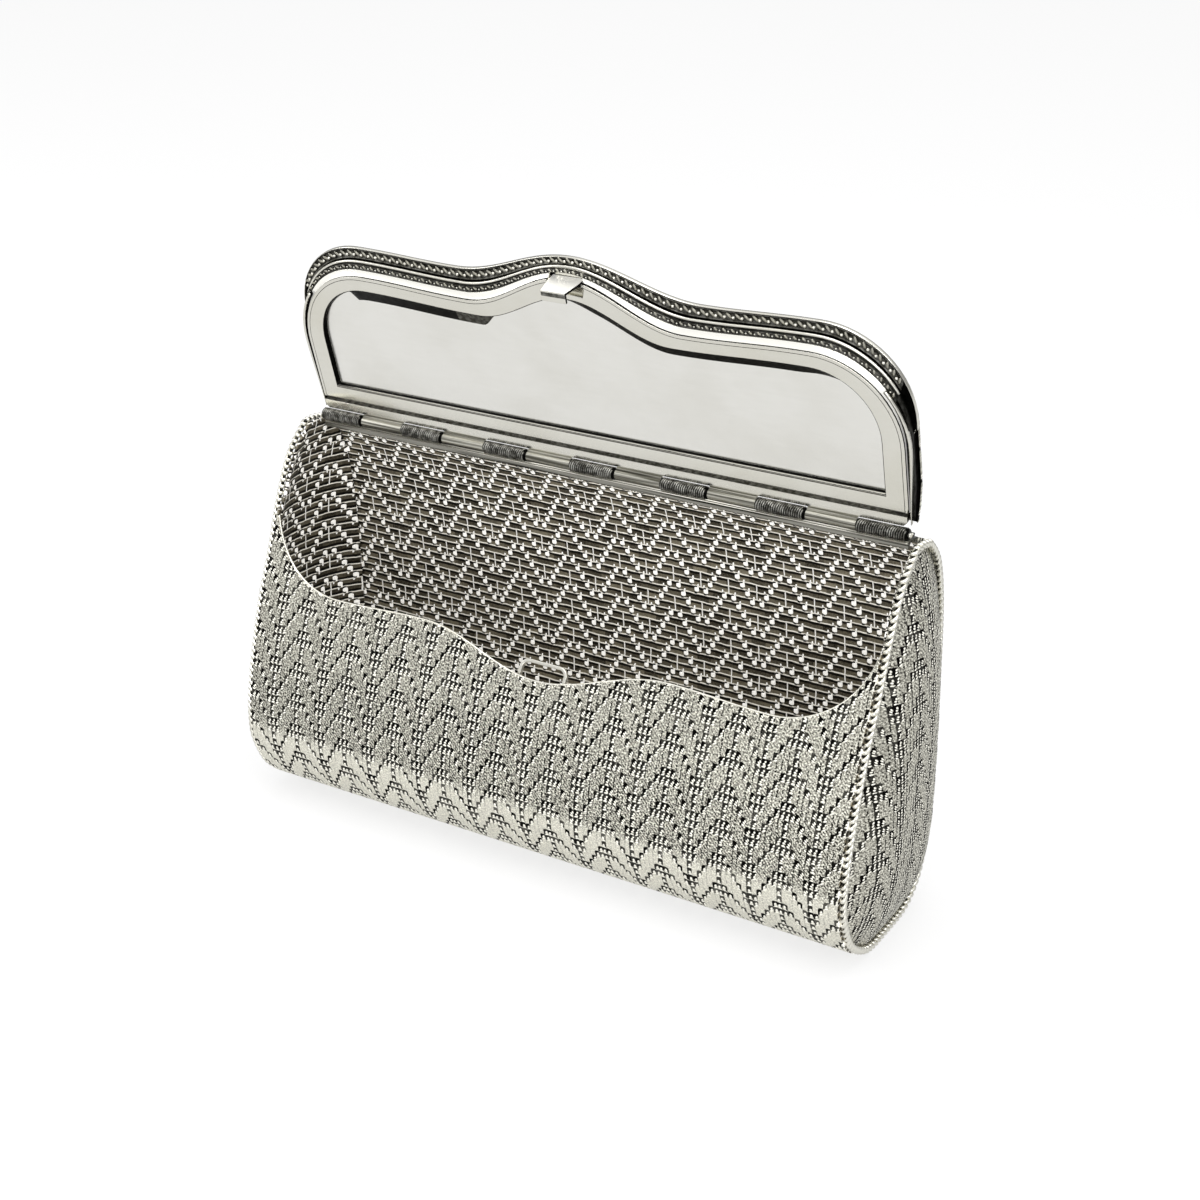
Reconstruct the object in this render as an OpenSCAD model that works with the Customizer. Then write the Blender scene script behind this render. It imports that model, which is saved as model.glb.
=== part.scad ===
// Minaudiere: a woven metal evening bag with a polished lid on a long hinge.
// Millimetres, +Z up, +X to the wearer's right, -Y to the front.
// The origin is on the resting face, in the middle of the bag.
// The lid is drawn open; turning it by shut_turn about the hinge shuts the bag.

/* [Woven body] */
// Width of the woven sheet between its two side seams
body_w = 175.2; // [165:0.2:190]
// Height of the hinge axis above the resting face
body_h = 102.5; // [96:0.5:115]
// How far the belly stands in front of the hinge axis
belly_front = 35.2; // [33.5:0.1:38]
// How far the back stands behind the hinge axis
back_reach = 17; // [15.5:0.1:19]
// Depth of the flat that the bag rests on
base_flat = 12; // [9:0.5:15]
// Thickness of the woven sheet
sheet_t = 1.2; // [0.9:0.05:1.4]
// Thickness of each side gusset
gusset_t = 0.9; // [0.6:0.05:1.1]
// How far the middle of a gusset swells outward
gusset_swell = 3; // [1:0.25:5]
// Radius of the overcast cord along the seams
cord_r = 0.9; // [0.7:0.05:1]
// Radius of the wire along the mouth edge
mouth_wire_r = 0.45; // [0.3:0.05:0.5]

/* [Lid] */
// Gap between the lid's rim and the gussets when the bag is shut
lid_side_gap = 0.4; // [0.3:0.05:1.5]
// Height of the frame's shoulders above the hinge axis
lid_shoulder = 44.1; // [43:0.1:45]
// Height of the frame in the two shallow valleys
lid_valley = 42.8; // [42:0.1:43.6]
// Height of the frame at its middle peak
lid_peak = 53; // [52.4:0.1:53.6]
// Radius of the lid's upper corners
lid_corner = 22; // [18:0.5:22.5]
// Half width of the middle peak at its foot
peak_half = 30; // [27:0.5:32]
// Width of the flat band at the sides of the frame
band_side = 5.5; // [4:0.25:7]
// Width of the flat band along the top of the frame
band_top = 4; // [3:0.1:4.6]
// Width of the flat band at the peak
band_peak = 5.4; // [5.1:0.1:5.8]
// How far the outer rim stands beyond the frame at the sides
rim_side = 1.7; // [1.3:0.05:1.8]
// How far the outer rim stands beyond the frame along the top
rim_top = 5.7; // [5:0.1:6]
// How far the outer rim stands beyond the frame at the peak
rim_peak = 3.6; // [3.3:0.1:3.9]
// Thickness of the frame's flat band
frame_t = 1.2; // [0.9:0.05:1.4]
// Thickness of the recessed panel
panel_t = 0.6; // [0.4:0.05:0.8]
// Thickness of the outer rim
rim_t = 0.9; // [0.6:0.05:1.2]
// Thickness of the lid's side wall
wall_t = 0.8; // [0.5:0.05:0.9]
// Thickness of the woven cover
cover_t = 0.8; // [0.5:0.05:0.9]
// How far the woven cover crowns above the rim
cover_crown = 0.5; // [0.2:0.1:1]

/* [Hinge] */
// Gap between each end of the hinge and the end of the woven sheet
hinge_end_gap = 2.6; // [2.2:0.1:5]
// Number of knuckles, alternately the body's and the lid's
knuckle_count = 13; // [9:2:17]
// Outer radius of a knuckle
knuckle_r = 1.2; // [1.05:0.05:1.25]
// Radius of the hinge pin
pin_r = 0.5; // [0.4:0.05:0.6]
// Forward lean of the open lid from the vertical, in degrees
lid_lean = 16; // [12:1:18]
// Forward lean of the shut lid from straight down, in degrees
shut_lean = 30; // [29.5:0.25:31]
// Height of the rail under the hinge
rail_h = 2.2; // [1.8:0.1:3]
// Thickness of the rail
rail_t = 0.9; // [0.7:0.05:1.1]

/* [Catch] */
// Width of the hook strip at the lid
hook_w = 8.6; // [7.5:0.1:9]
// Width of the hook's lip
lip_w = 6.7; // [5:0.1:7]
// Thickness of the hook strip
hook_t = 0.65; // [0.5:0.05:0.7]
// Outer width of the loop on the body
loop_w = 14; // [11:0.25:16]
// Thickness of the loop's strip, seen from the front
loop_t = 0.9; // [0.7:0.05:0.95]
// Depth of the loop's strip
loop_d = 1.1; // [0.8:0.05:1.2]
// How far the hook's lip reaches past the loop's bar
lip_overlap = 0.8; // [0.5:0.05:0.9]

/* [Hidden] */
$fn = 32;

// Gaps and overruns
seat_gap = 0.1;
pin_play = 0.05;
knuckle_gap = 0.15;
overrun = 1;
side_play = 0.4;

// Widths that follow from the body
lid_w = body_w - 2 * (seat_gap + gusset_t + lid_side_gap + rim_side);
hinge_w = body_w - 2 * hinge_end_gap;

// Place of the hinge axis
hinge_y = (belly_front - back_reach) / 2;
hinge_z = body_h;
shut_turn = 180 - lid_lean - shut_lean;

// Side profile of the body, from the top of the front seam down, under the bag and up the back.
// Each point is a share of the reach from the hinge axis and a share of the height.
curve_steps = 4;
front_shares = [[0.131, 0.006], [0.341, 0.078], [0.509, 0.194], [0.634, 0.312], [0.77, 0.424],
  [0.906, 0.571], [0.98, 0.683], [1, 0.76]];
front_low_shares = [[0.96, 0.83], [0.743, 0.922], [0.36, 0.983]];
back_low_shares = [[0.417, 0.983], [0.756, 0.927], [0.956, 0.82]];
back_shares = [[1, 0.683], [0.988, 0.527], [0.935, 0.351], [0.835, 0.195], [0.635, 0.083], [0.318, 0.0215]];
top_shares = [[0.13, 0.009], [-0.07, 0.004]];
base_middle_share = 0.2;
base_front = -base_middle_share * belly_front - base_flat / 2;
base_back = -base_middle_share * belly_front + base_flat / 2;

function spline_point(a, b, c, d, t) =
  0.5 * (2 * b + (c - a) * t + (2 * a - 5 * b + 4 * c - d) * t * t + (3 * b - a - 3 * c + d) * t * t * t);
function spline(p, steps) = [
  for (i = [1 : len(p) - 3], k = [0 : steps - 1]) spline_point(p[i - 1], p[i], p[i + 1], p[i + 2], k / steps),
  p[len(p) - 2]];

front_points = concat(
  [for (s = front_shares) [-s[0] * belly_front, -s[1] * body_h]],
  [for (s = front_low_shares) [base_front - s[0] * (belly_front + base_front), -s[1] * body_h]],
  [[base_front, -body_h]]);
back_points = concat(
  [[base_back, -body_h]],
  [for (s = back_low_shares) [base_back + s[0] * (back_reach - base_back), -s[1] * body_h]],
  [for (s = back_shares) [s[0] * back_reach, -s[1] * body_h]]);
top_points = concat([for (s = top_shares) [s[0] * back_reach, -s[1] * body_h]], [front_points[0]]);

// A spline that leaves its first point along the next one, and meets the flat base level
function level_end(near, end) = [2 * end[0] - near[0], near[1]];
front_line = spline(concat(
  [2 * front_points[0] - front_points[1]],
  front_points,
  [level_end(front_points[len(front_points) - 2], front_points[len(front_points) - 1])]), curve_steps);
rear_points = concat(back_points, top_points);
rear_line = spline(concat(
  [level_end(back_points[1], back_points[0])],
  rear_points,
  [2 * front_points[0] - top_points[len(top_points) - 2]]), curve_steps);
sheet_rear_count = (len(back_points) - 1) * curve_steps;
sheet_line = concat(front_line, [for (i = [0 : sheet_rear_count]) rear_line[i]]);
closed_line = concat(front_line, [for (i = [0 : len(rear_line) - 2]) rear_line[i]]);

function unit(v) = v / norm(v);
function left_of(t) = [-t[1], t[0]];
function inset_line(p, d, closed) = [
  for (i = [0 : len(p) - 1])
    let (
      before = closed ? p[(i + len(p) - 1) % len(p)] : p[max(0, i - 1)],
      after = closed ? p[(i + 1) % len(p)] : p[min(len(p) - 1, i + 1)])
    p[i] + d * left_of(unit(after - before))];
function reversed(p) = [for (i = [len(p) - 1 : -1 : 0]) p[i]];

// Outline of the lid's free edge, from the right side over the top to the left side.
// Sizes are half width, shoulder, valley, peak, corner radius and half width of the peak.
quarter_turn = 90;
corner_steps = 10;
top_steps = 44;
function clamp(t) = max(0, min(1, t));
function ease(t) = (1 - cos(180 * clamp(t))) / 2;
function edge_height(s, u) =
  s[2] + (s[1] - s[2]) * ease((abs(u) - s[5]) / (s[0] - s[4] - s[5])) + (s[3] - s[2]) * (1 - ease(abs(u) / s[5]));
function corner_point(s, a) = [s[0] - s[4] + s[4] * cos(a), s[1] - s[4] + s[4] * sin(a)];
function edge_line(s) = concat(
  [for (k = [0 : corner_steps - 1]) corner_point(s, quarter_turn * k / corner_steps)],
  [for (k = [0 : top_steps])
    let (u = (s[0] - s[4]) * (1 - 2 * k / top_steps)) [u, edge_height(s, u)]],
  [for (k = [corner_steps - 1 : -1 : 0])
    let (p = corner_point(s, quarter_turn * k / corner_steps)) [-p[0], p[1]]]);
function edge_shape(s, low) = concat([[-s[0], low], [s[0], low]], edge_line(s));

rim_valley_gain = 0.3;
rim_foot_gain = 4;
recess_corner_loss = 5;
recess_foot_loss = 3;
frame_sizes = [lid_w / 2, lid_shoulder, lid_valley, lid_peak, lid_corner, peak_half];
rim_gains = [rim_side, rim_top, rim_top + rim_valley_gain, rim_peak, 0, rim_foot_gain];
recess_sizes = frame_sizes - [band_side, band_top, band_top, band_peak, recess_corner_loss, recess_foot_loss];
function grown(share) = frame_sizes + share * rim_gains;

// The mouth of the body follows the rim, which laps over it
rim_lap = 1.6;
mouth_corner_gain = 2.4;
mouth_foot_gain = 2;
mouth_sizes = [body_w / 2 + side_play, lid_shoulder + rim_top - rim_lap,
  lid_valley + rim_top + rim_valley_gain - rim_lap, lid_peak + rim_peak - rim_lap,
  lid_corner + mouth_corner_gain, peak_half + rim_foot_gain + mouth_foot_gain];
mouth_reach = 14;
mouth_back = 3;
mouth_low = 4;

// Levels behind the plane of the hinge axis, in the lid
face_back = 1.3;
frame_back = face_back + frame_t;
lip_back = frame_back + panel_t;
rim_front = 5;
rim_back = rim_front + rim_t;
cover_inside = rim_back + seat_gap;

// Heights in the lid
bar_low = 1.7;
bar_top = 4.3;
bar_front = 0.7;
bar_inset = 0.2;
bar_half = lid_w / 2 - bar_inset;
frame_low = 5;
recess_low = 9.2;
panel_margin = 1;
leaf_low = 2.5;
wall_low = 1.8;
rows_low = 38;
rim_low = 26;

// Shares of the way from the frame's edge to the rim's edge
bevel_share = 0.12;
lip_share = 0.25;
inner_row_shares = [0.27, 0.46];
inner_wire_shares = [0.48, 0.56];
wall_share = 0.45;
rim_inner_share = 0.47;
outer_wire_shares = [0.62, 0.69];
outer_row_shares = [0.71, 0.94];
cover_share = 0.85;
row_front = 2.4;
inner_wire_front = 3.5;
inner_wire_back = 4.1;
outer_row_front = 4.35;

// Placing in the body, in the open lid and where the shut lid lies
module at_hinge() {
  translate([0, hinge_y, hinge_z]) children();
}
module in_lid(turn = 0) {
  at_hinge() rotate([lid_lean + turn, 0, 0]) children();
}
module across(width) {
  translate([-width / 2, 0, 0]) rotate([90, 0, 90]) linear_extrude(width) children();
}
// A plate whose outline stands in the plane of the lid, from one level back by its thickness
module lid_plate(near, thick) {
  translate([0, near + thick, 0]) rotate([90, 0, 0]) linear_extrude(thick) children();
}
// The part of one outline outside another, from a given height up
module lid_ring(outer, inner, low, near, thick) {
  lid_plate(near, thick) difference() {
    polygon(edge_shape(outer, wall_low));
    polygon(edge_shape(inner, wall_low - overrun));
    translate([-lid_w, -overrun]) square([2 * lid_w, low + overrun]);
  }
}

// A tube along a line of points; side points away from the plane in which the line bends
function ring_at(before, at, after, r, sides, side) =
  let (t = unit(after - before), a = unit(side - (side * t) * t), b = cross(t, a))
  [for (j = [0 : sides - 1]) at + r * (cos(360 * j / sides) * a + sin(360 * j / sides) * b)];
module tube(p, r, sides, side, closed = false) {
  n = len(p);
  rings = [for (i = [0 : n - 1])
    ring_at(closed ? p[(i + n - 1) % n] : p[max(0, i - 1)], p[i],
      closed ? p[(i + 1) % n] : p[min(n - 1, i + 1)], r, sides, side)];
  spans = closed ? n : n - 1;
  skin = [for (i = [0 : spans - 1], j = [0 : sides - 1])
    let (a = i * sides + j, b = i * sides + (j + 1) % sides,
      c = ((i + 1) % n) * sides + (j + 1) % sides, d = ((i + 1) % n) * sides + j)
    each [[a, c, b], [a, d, c]]];
  caps = closed ? [] : [
    [for (j = [0 : sides - 1]) j],
    [for (j = [sides - 1 : -1 : 0]) (n - 1) * sides + j]];
  polyhedron([for (ring = rings) each ring], concat(skin, caps), convexity = 6);
}
cord_sides = 8;

// Front, bottom and back of the body: one sheet of woven metal, cut open at the mouth
module woven_wrap() color("silver") {
  difference() {
    at_hinge() across(body_w)
      polygon(concat(sheet_line, reversed(inset_line(sheet_line, sheet_t, false))));
    in_lid(shut_turn) lid_plate(-mouth_back, mouth_back + mouth_reach)
      polygon(edge_shape(mouth_sizes, -mouth_low));
  }
}

// Side gusset: a swelling woven plate inside the end of the sheet
ring_shares = [0, 0.1, 0.25, 0.45, 0.7];
middle_shares = [-0.26, -0.62];
gusset_middle = [middle_shares[0] * belly_front, middle_shares[1] * body_h];
gusset_face = body_w / 2 - seat_gap;
gusset_edge = inset_line(closed_line, sheet_t + seat_gap, true);
function swell_at(s) = gusset_swell * (1 - (1 - s) * (1 - s));
module gusset() {
  n = len(gusset_edge);
  m = len(ring_shares);
  outer = [for (s = ring_shares, p = gusset_edge)
    let (q = p + s * (gusset_middle - p)) [gusset_face + swell_at(s), q[0], q[1]]];
  inner = [for (q = outer) q - [gusset_t, 0, 0]];
  tips = [[gusset_face + gusset_swell, gusset_middle[0], gusset_middle[1]],
    [gusset_face + gusset_swell - gusset_t, gusset_middle[0], gusset_middle[1]]];
  tip = 2 * n * m;
  skin = [for (k = [0 : m - 2], i = [0 : n - 1])
    let (a = k * n + i, b = k * n + (i + 1) % n, c = b + n, d = a + n, back = n * m)
    each [[a, c, b], [a, d, c], [a + back, b + back, c + back], [a + back, c + back, d + back]]];
  fans = [for (i = [0 : n - 1])
    let (a = (m - 1) * n + i, b = (m - 1) * n + (i + 1) % n, back = n * m)
    each [[a, tip, b], [a + back, b + back, tip + 1]]];
  edge = [for (i = [0 : n - 1])
    let (a = i, b = (i + 1) % n, back = n * m)
    each [[a, b, b + back], [a, b + back, a + back]]];
  at_hinge() polyhedron(concat(outer, inner, tips), concat(skin, fans, edge), convexity = 6);
}
module right_gusset() color("lightgray") gusset();
module left_gusset() color("lightgray") mirror([1, 0, 0]) gusset();

// Overcast cord that binds the sheet to a gusset, all the way round
module seam_cord() {
  line = inset_line(closed_line, cord_r + seat_gap, true);
  x = body_w / 2 + cord_r;
  at_hinge() tube([for (p = line) [x, p[0], p[1]]], cord_r, cord_sides, [1, 0, 0], true);
}
module right_seam_cord() color("gainsboro") seam_cord();
module left_seam_cord() color("gainsboro") mirror([1, 0, 0]) seam_cord();

// Rail under the hinge, with a flange that runs back to the top of the sheet
sheet_inner_line = inset_line(sheet_line, sheet_t, false);
sheet_end_out = sheet_line[len(sheet_line) - 1];
sheet_end_in = sheet_inner_line[len(sheet_line) - 1];
sheet_end_way = unit(sheet_line[len(sheet_line) - 1] - sheet_line[len(sheet_line) - 2]);
rail_drop = knuckle_r + knuckle_gap;
rail_end_out = sheet_end_out + seat_gap * sheet_end_way;
rail_end_in = sheet_end_in + seat_gap * sheet_end_way;
module hinge_rail() color("darkgray") {
  at_hinge() across(hinge_w) polygon([
    [0, -rail_drop], [0, -rail_drop - rail_h], [rail_t, -rail_drop - rail_h],
    [rail_t, -rail_drop - rail_t], rail_end_in, rail_end_out]);
}

// Cord that binds the top of the sheet behind the hinge
back_cord_gap = 0.8;
back_cord_back = knuckle_r + cord_r + back_cord_gap;
flange_rise = rail_drop + sheet_end_out[1];
flange_len = norm([sheet_end_out[0], flange_rise]);
back_cord_drop = -rail_drop + (flange_rise * back_cord_back + (cord_r + seat_gap) * flange_len) / sheet_end_out[0];
module back_seam_cord() color("gainsboro") {
  at_hinge() translate([-hinge_w / 2, back_cord_back, back_cord_drop])
    rotate([0, 90, 0]) cylinder(h = hinge_w, r = cord_r);
}

// Wire along the edge of the mouth, on the middle of the sheet's thickness
shut_angle = lid_lean + shut_turn;
function levels(line) = [for (p = line)
  [-p[0] * sin(shut_angle) + p[1] * cos(shut_angle), p[0] * cos(shut_angle) + p[1] * sin(shut_angle)]];
sheet_levels = levels(inset_line(front_line, sheet_t / 2, false));
inner_levels = levels(inset_line(front_line, sheet_t, false));
wire_inset = mouth_wire_r + seat_gap;
mouth_wire_sizes = mouth_sizes - [wire_inset + side_play, wire_inset, wire_inset, wire_inset, 0, 0];
wire_skip = 2;
mouth_wire_plan = edge_line(mouth_wire_sizes);
module mouth_edge_wire() color("white") {
  in_lid(shut_turn) tube(
    [for (i = [wire_skip : len(mouth_wire_plan) - 1 - wire_skip])
      [mouth_wire_plan[i][0], lookup(mouth_wire_plan[i][1], sheet_levels), mouth_wire_plan[i][1]]],
    mouth_wire_r, cord_sides, [0, 1, 0]);
}

// Hinge knuckles: the odd ones stand on the rail, the even ones hang from the lid's bar
knuckle_pitch = hinge_w / knuckle_count;
web_t = 0.9;
module knuckle_tube(i) {
  translate([-hinge_w / 2 + i * knuckle_pitch + knuckle_gap / 2, 0, 0])
    rotate([0, 90, 0]) cylinder(h = knuckle_pitch - knuckle_gap, r = knuckle_r);
}
module knuckle_web(i, from_y, from_z, to_z) {
  translate([-hinge_w / 2 + i * knuckle_pitch + knuckle_gap / 2, from_y, from_z])
    cube([knuckle_pitch - knuckle_gap, web_t, to_z - from_z]);
}
module pin_bore() {
  translate([-hinge_w / 2 - overrun, 0, 0]) rotate([0, 90, 0])
    cylinder(h = hinge_w + 2 * overrun, r = pin_r + pin_play);
}
module body_knuckles() color("dimgray") {
  at_hinge() difference() {
    for (i = [0 : 2 : knuckle_count - 1]) {
      union() {
        knuckle_tube(i);
        knuckle_web(i, 0, -rail_drop, 0);
      }
    }
    pin_bore();
  }
}
module lid_knuckles() color("gainsboro") {
  in_lid() difference() {
    for (i = [1 : 2 : knuckle_count - 1]) {
      union() {
        knuckle_tube(i);
        knuckle_web(i, bar_front - web_t / 2, 0, bar_low - seat_gap / 2);
      }
    }
    pin_bore();
  }
}
pin_head_l = 0.5;
pin_head_share = 1.4;
pin_head_r = pin_r * pin_head_share;
module hinge_pin() color("white") {
  at_hinge() rotate([0, 90, 0]) {
    translate([0, 0, -hinge_w / 2]) cylinder(h = hinge_w, r = pin_r);
    for (side = [-1, 1]) translate([0, 0, side * (hinge_w + pin_head_l) / 2])
      cylinder(h = pin_head_l, r = pin_head_r, center = true);
  }
}

// Loop that the hook holds, drawn where it meets the shut lid, and the plate that holds the loop
hook_sink = 0.5;
hook_top = lid_peak - hook_sink;
lip_h = 2.75;
lip_low = hook_top - lip_h;
release_gap = 0.2;
hook_travel = lip_overlap + release_gap;
loop_low = lip_low + lip_overlap - loop_t;
loop_corner = 2.6;
loop_len = 9.4;
plate_side = 1.5;
plate_t = 0.5;
plate_h = 3.2;
plate_low = loop_low + loop_len - loop_corner;
plate_high = plate_low + plate_h;
loop_back = lookup(plate_high, inner_levels) - 2 * seat_gap - plate_t;
loop_front = loop_back - loop_d;
module rounded(w, h, r) {
  translate([-w / 2 + r, 0]) square([w - 2 * r, h]);
  translate([-w / 2, r]) square([w, h - 2 * r]);
  for (x = [-1, 1], y = [r, h - r]) translate([x * (w / 2 - r), y]) circle(r);
}
module catch_loop() color("white") {
  in_lid(shut_turn) lid_plate(loop_front, loop_d) translate([0, loop_low]) difference() {
    rounded(loop_w, loop_len, loop_corner);
    translate([0, loop_t]) rounded(loop_w - 2 * loop_t, loop_len - 2 * loop_t, loop_corner - loop_t);
  }
}
module loop_plate() color("silver") {
  in_lid(shut_turn) across(loop_w + 2 * plate_side) polygon([
    [loop_back + seat_gap, plate_low],
    [lookup(plate_low, inner_levels) - seat_gap, plate_low],
    [lookup(plate_high, inner_levels) - seat_gap, plate_high],
    [loop_back + seat_gap, plate_high]]);
}

// Hinge bar along the foot of the lid, with a leaf behind the frame
bar_chamfer = 1;
leaf_half = recess_sizes[0] + panel_margin;
module lid_hinge_bar() color("white") {
  in_lid() {
    lid_plate(bar_front, face_back + frame_t - bar_front) polygon([
      [-bar_half + bar_chamfer, bar_low], [bar_half - bar_chamfer, bar_low],
      [bar_half, bar_low + bar_chamfer], [bar_half, bar_top],
      [-bar_half, bar_top], [-bar_half, bar_low + bar_chamfer]]);
    lid_plate(frame_back, panel_t)
      translate([-leaf_half, leaf_low])
      square([2 * leaf_half, recess_low - panel_margin - seat_gap - leaf_low]);
  }
}

// Polished frame of the lid: a flat band with a stepped bevel and a lip behind it
notch_side = 0.4;
notch_low = hook_top - hook_t - notch_side;
module hook_notch() {
  translate([-hook_w / 2 - notch_side, face_back - overrun, notch_low])
    cube([hook_w + 2 * notch_side, lip_back - face_back + 2 * overrun, lid_peak + rim_peak - notch_low]);
}
module lid_frame() color("whitesmoke") {
  in_lid() difference() {
    union() {
      lid_plate(face_back, frame_t / 2) polygon(edge_shape(frame_sizes, frame_low));
      lid_plate(face_back + frame_t / 2, frame_t / 2) polygon(edge_shape(grown(bevel_share), frame_low));
      lid_plate(frame_back, panel_t) difference() {
        polygon(edge_shape(grown(lip_share), frame_low));
        polygon(edge_shape(panel_seat, -overrun));
      }
    }
    lid_plate(face_back - overrun, frame_t + 2 * overrun) polygon(edge_shape(recess_sizes, recess_low));
    hook_notch();
  }
}
panel_sizes = recess_sizes + panel_margin * [1, 1, 1, 1, 0, 0];
panel_seat = panel_sizes + seat_gap * [1, 1, 1, 1, 0, 0];
module lid_mirror_panel() color("aliceblue") {
  in_lid() lid_plate(frame_back, panel_t) polygon(edge_shape(panel_sizes, recess_low - panel_margin));
}

// Strips that follow the top of the lid between two shares of the rim's reach
module edge_strip(shares, low, near, thick) {
  in_lid() lid_ring(grown(shares[1]), grown(shares[0]), low, near, thick);
}
module inner_bead_row() color("gray") edge_strip(inner_row_shares, rows_low, row_front, lip_back - row_front);
module inner_rim_wire() color("white")
  edge_strip(inner_wire_shares, rows_low, inner_wire_front, inner_wire_back - inner_wire_front);
module outer_rim_wire() color("white")
  edge_strip(outer_wire_shares, rows_low, outer_row_front, rim_front - outer_row_front - seat_gap / 2);
module outer_bead_row() color("gray")
  edge_strip(outer_row_shares, rows_low, outer_row_front, rim_front - outer_row_front - seat_gap / 2);
module lid_rim() color("whitesmoke") edge_strip([rim_inner_share, 1], rim_low, rim_front, rim_t);

// Woven cover on the outside of the lid, crowned between the hinge and the rim
cover_low = wall_low;
cover_top = lid_peak + rim_peak;
cover_foot_back = 4.1;
cover_turn_share = 0.06;
cover_turn_rise = 0.5;
cover_shares = [[0.16, 0.9], [0.33, 1], [0.54, 0.9], [0.75, 0.45], [1, 0]];
cover_outside = cover_inside + cover_t;
function cover_height(share) = cover_low + share * (cover_top - cover_low);
cover_line = concat(
  [[cover_foot_back, cover_low]],
  [[cover_foot_back + cover_turn_rise * (cover_outside + cover_crown - cover_foot_back),
    cover_height(cover_turn_share)]],
  [for (s = cover_shares) [cover_outside + s[1] * cover_crown, cover_height(s[0])]]);
cover_under = [for (p = cover_line) p - [cover_t, 0]];
module cover_slot() {
  translate([0, cover_inside - overrun, hook_middle]) for (up = [0, hook_travel])
    translate([0, 0, up]) rotate([-90, 0, 0])
      cylinder(h = cover_t + cover_crown + 2 * overrun, r = stem_r + slot_play);
  translate([-stem_r - slot_play, cover_inside - overrun, hook_middle])
    cube([2 * (stem_r + slot_play), cover_t + cover_crown + 2 * overrun, hook_travel]);
}
module lid_cover() color("silver") {
  in_lid() difference() {
    intersection() {
      across(lid_w + 2 * rim_side) polygon(concat(cover_line, reversed(cover_under)));
      lid_plate(0, cover_inside + cover_t + cover_crown + overrun) polygon(edge_shape(grown(cover_share), 0));
    }
    cover_slot();
  }
}

// Wall between the frame and the cover, along the sides and the top, with room for the slide
slide_room = 0.3;
wall_front = lip_back + seat_gap;
module lid_wall() color("gainsboro") {
  in_lid() difference() {
    intersection() {
      lid_ring(grown(wall_share), grown(wall_share) - wall_t * [1, 1, 1, 1, 1, 0], wall_low,
        wall_front, cover_inside + cover_crown - wall_front + overrun);
      across(lid_w + 2 * rim_side) polygon(concat(
        [[wall_front - overrun, cover_low]],
        [for (p = cover_under) p - [seat_gap, 0]],
        [[wall_front - overrun, cover_top]]));
    }
    translate([-hook_w / 2 - slide_room, wall_front - overrun, lip_low])
      cube([hook_w + 2 * slide_room, overrun + carrier_t + slide_room, lip_h + hook_travel + slide_room]);
  }
}

// Sliding catch: a bent strip that reaches in through the notch, on a plate behind the frame
stem_sink = 0.3;
hook_middle = (lip_low + hook_top) / 2 - stem_sink;
stem_r = 1;
slot_play = 0.3;
carrier_front = lip_back + seat_gap;
carrier_t = 0.5;
carrier_h = hook_top - lip_low;
hook_front = loop_front - 2 * seat_gap - hook_t;
module catch_hook() color("white") {
  in_lid() {
    translate([0, 0, hook_top - hook_t]) linear_extrude(hook_t) polygon([
      [-lip_w / 2, hook_front], [lip_w / 2, hook_front],
      [hook_w / 2, face_back], [hook_w / 2, carrier_front + carrier_t],
      [-hook_w / 2, carrier_front + carrier_t], [-hook_w / 2, face_back]]);
    translate([-lip_w / 2, hook_front, lip_low]) cube([lip_w, hook_t, lip_h - hook_t / 2]);
    translate([-hook_w / 2, carrier_front, hook_top - carrier_h]) cube([hook_w, carrier_t, carrier_h]);
  }
}

// Button on the outside of the lid that slides the hook free of the loop
button_w = 9;
button_h = 3.2;
button_corner = 1.5;
button_t = 1.1;
stem_front = carrier_front + carrier_t + seat_gap / 2;
button_front = cover_inside + cover_t + cover_crown + seat_gap;
module catch_button() color("gold") {
  in_lid() {
    translate([0, stem_front, hook_middle]) rotate([-90, 0, 0])
      cylinder(h = button_front + button_t / 2 - stem_front, r = stem_r);
    lid_plate(button_front, button_t) translate([0, hook_middle - button_h / 2])
      rounded(button_w, button_h, button_corner);
  }
}

// Bowed spring strip that draws the hook back: its middle is tied to the slide, its ends to two posts
spring_half = 9;
spring_drop = 2.6;
spring_t = 0.3;
spring_w = 0.45;
spring_steps = 16;
spring_top = lip_low - seat_gap;
post_r = 0.6;
post_l = 1;
function bow(u) = spring_top - spring_drop * (u / spring_half) * (u / spring_half);
module catch_spring() color("goldenrod") {
  spring_u = [for (k = [0 : spring_steps]) spring_half * (2 * k / spring_steps - 1)];
  in_lid() lid_plate(carrier_front, spring_w) polygon(concat(
    [for (u = spring_u) [u, bow(u)]], reversed([for (u = spring_u) [u, bow(u) - spring_t]])));
}
module spring_posts() color("silver") {
  in_lid() for (side = [-1, 1])
    translate([side * (spring_half + post_r + seat_gap), lip_back, spring_top - spring_drop - spring_t / 2])
      rotate([-90, 0, 0]) cylinder(h = post_l, r = post_r);
}

woven_wrap();
left_gusset();
right_gusset();
left_seam_cord();
right_seam_cord();
back_seam_cord();
mouth_edge_wire();
hinge_rail();
body_knuckles();
hinge_pin();
catch_loop();
loop_plate();
lid_knuckles();
lid_hinge_bar();
lid_frame();
lid_mirror_panel();
inner_bead_row();
inner_rim_wire();
lid_wall();
lid_rim();
outer_rim_wire();
outer_bead_row();
lid_cover();
catch_hook();
catch_button();
catch_spring();
spring_posts();
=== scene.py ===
import math

import bmesh
import bpy
from mathutils import Matrix, Vector


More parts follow.
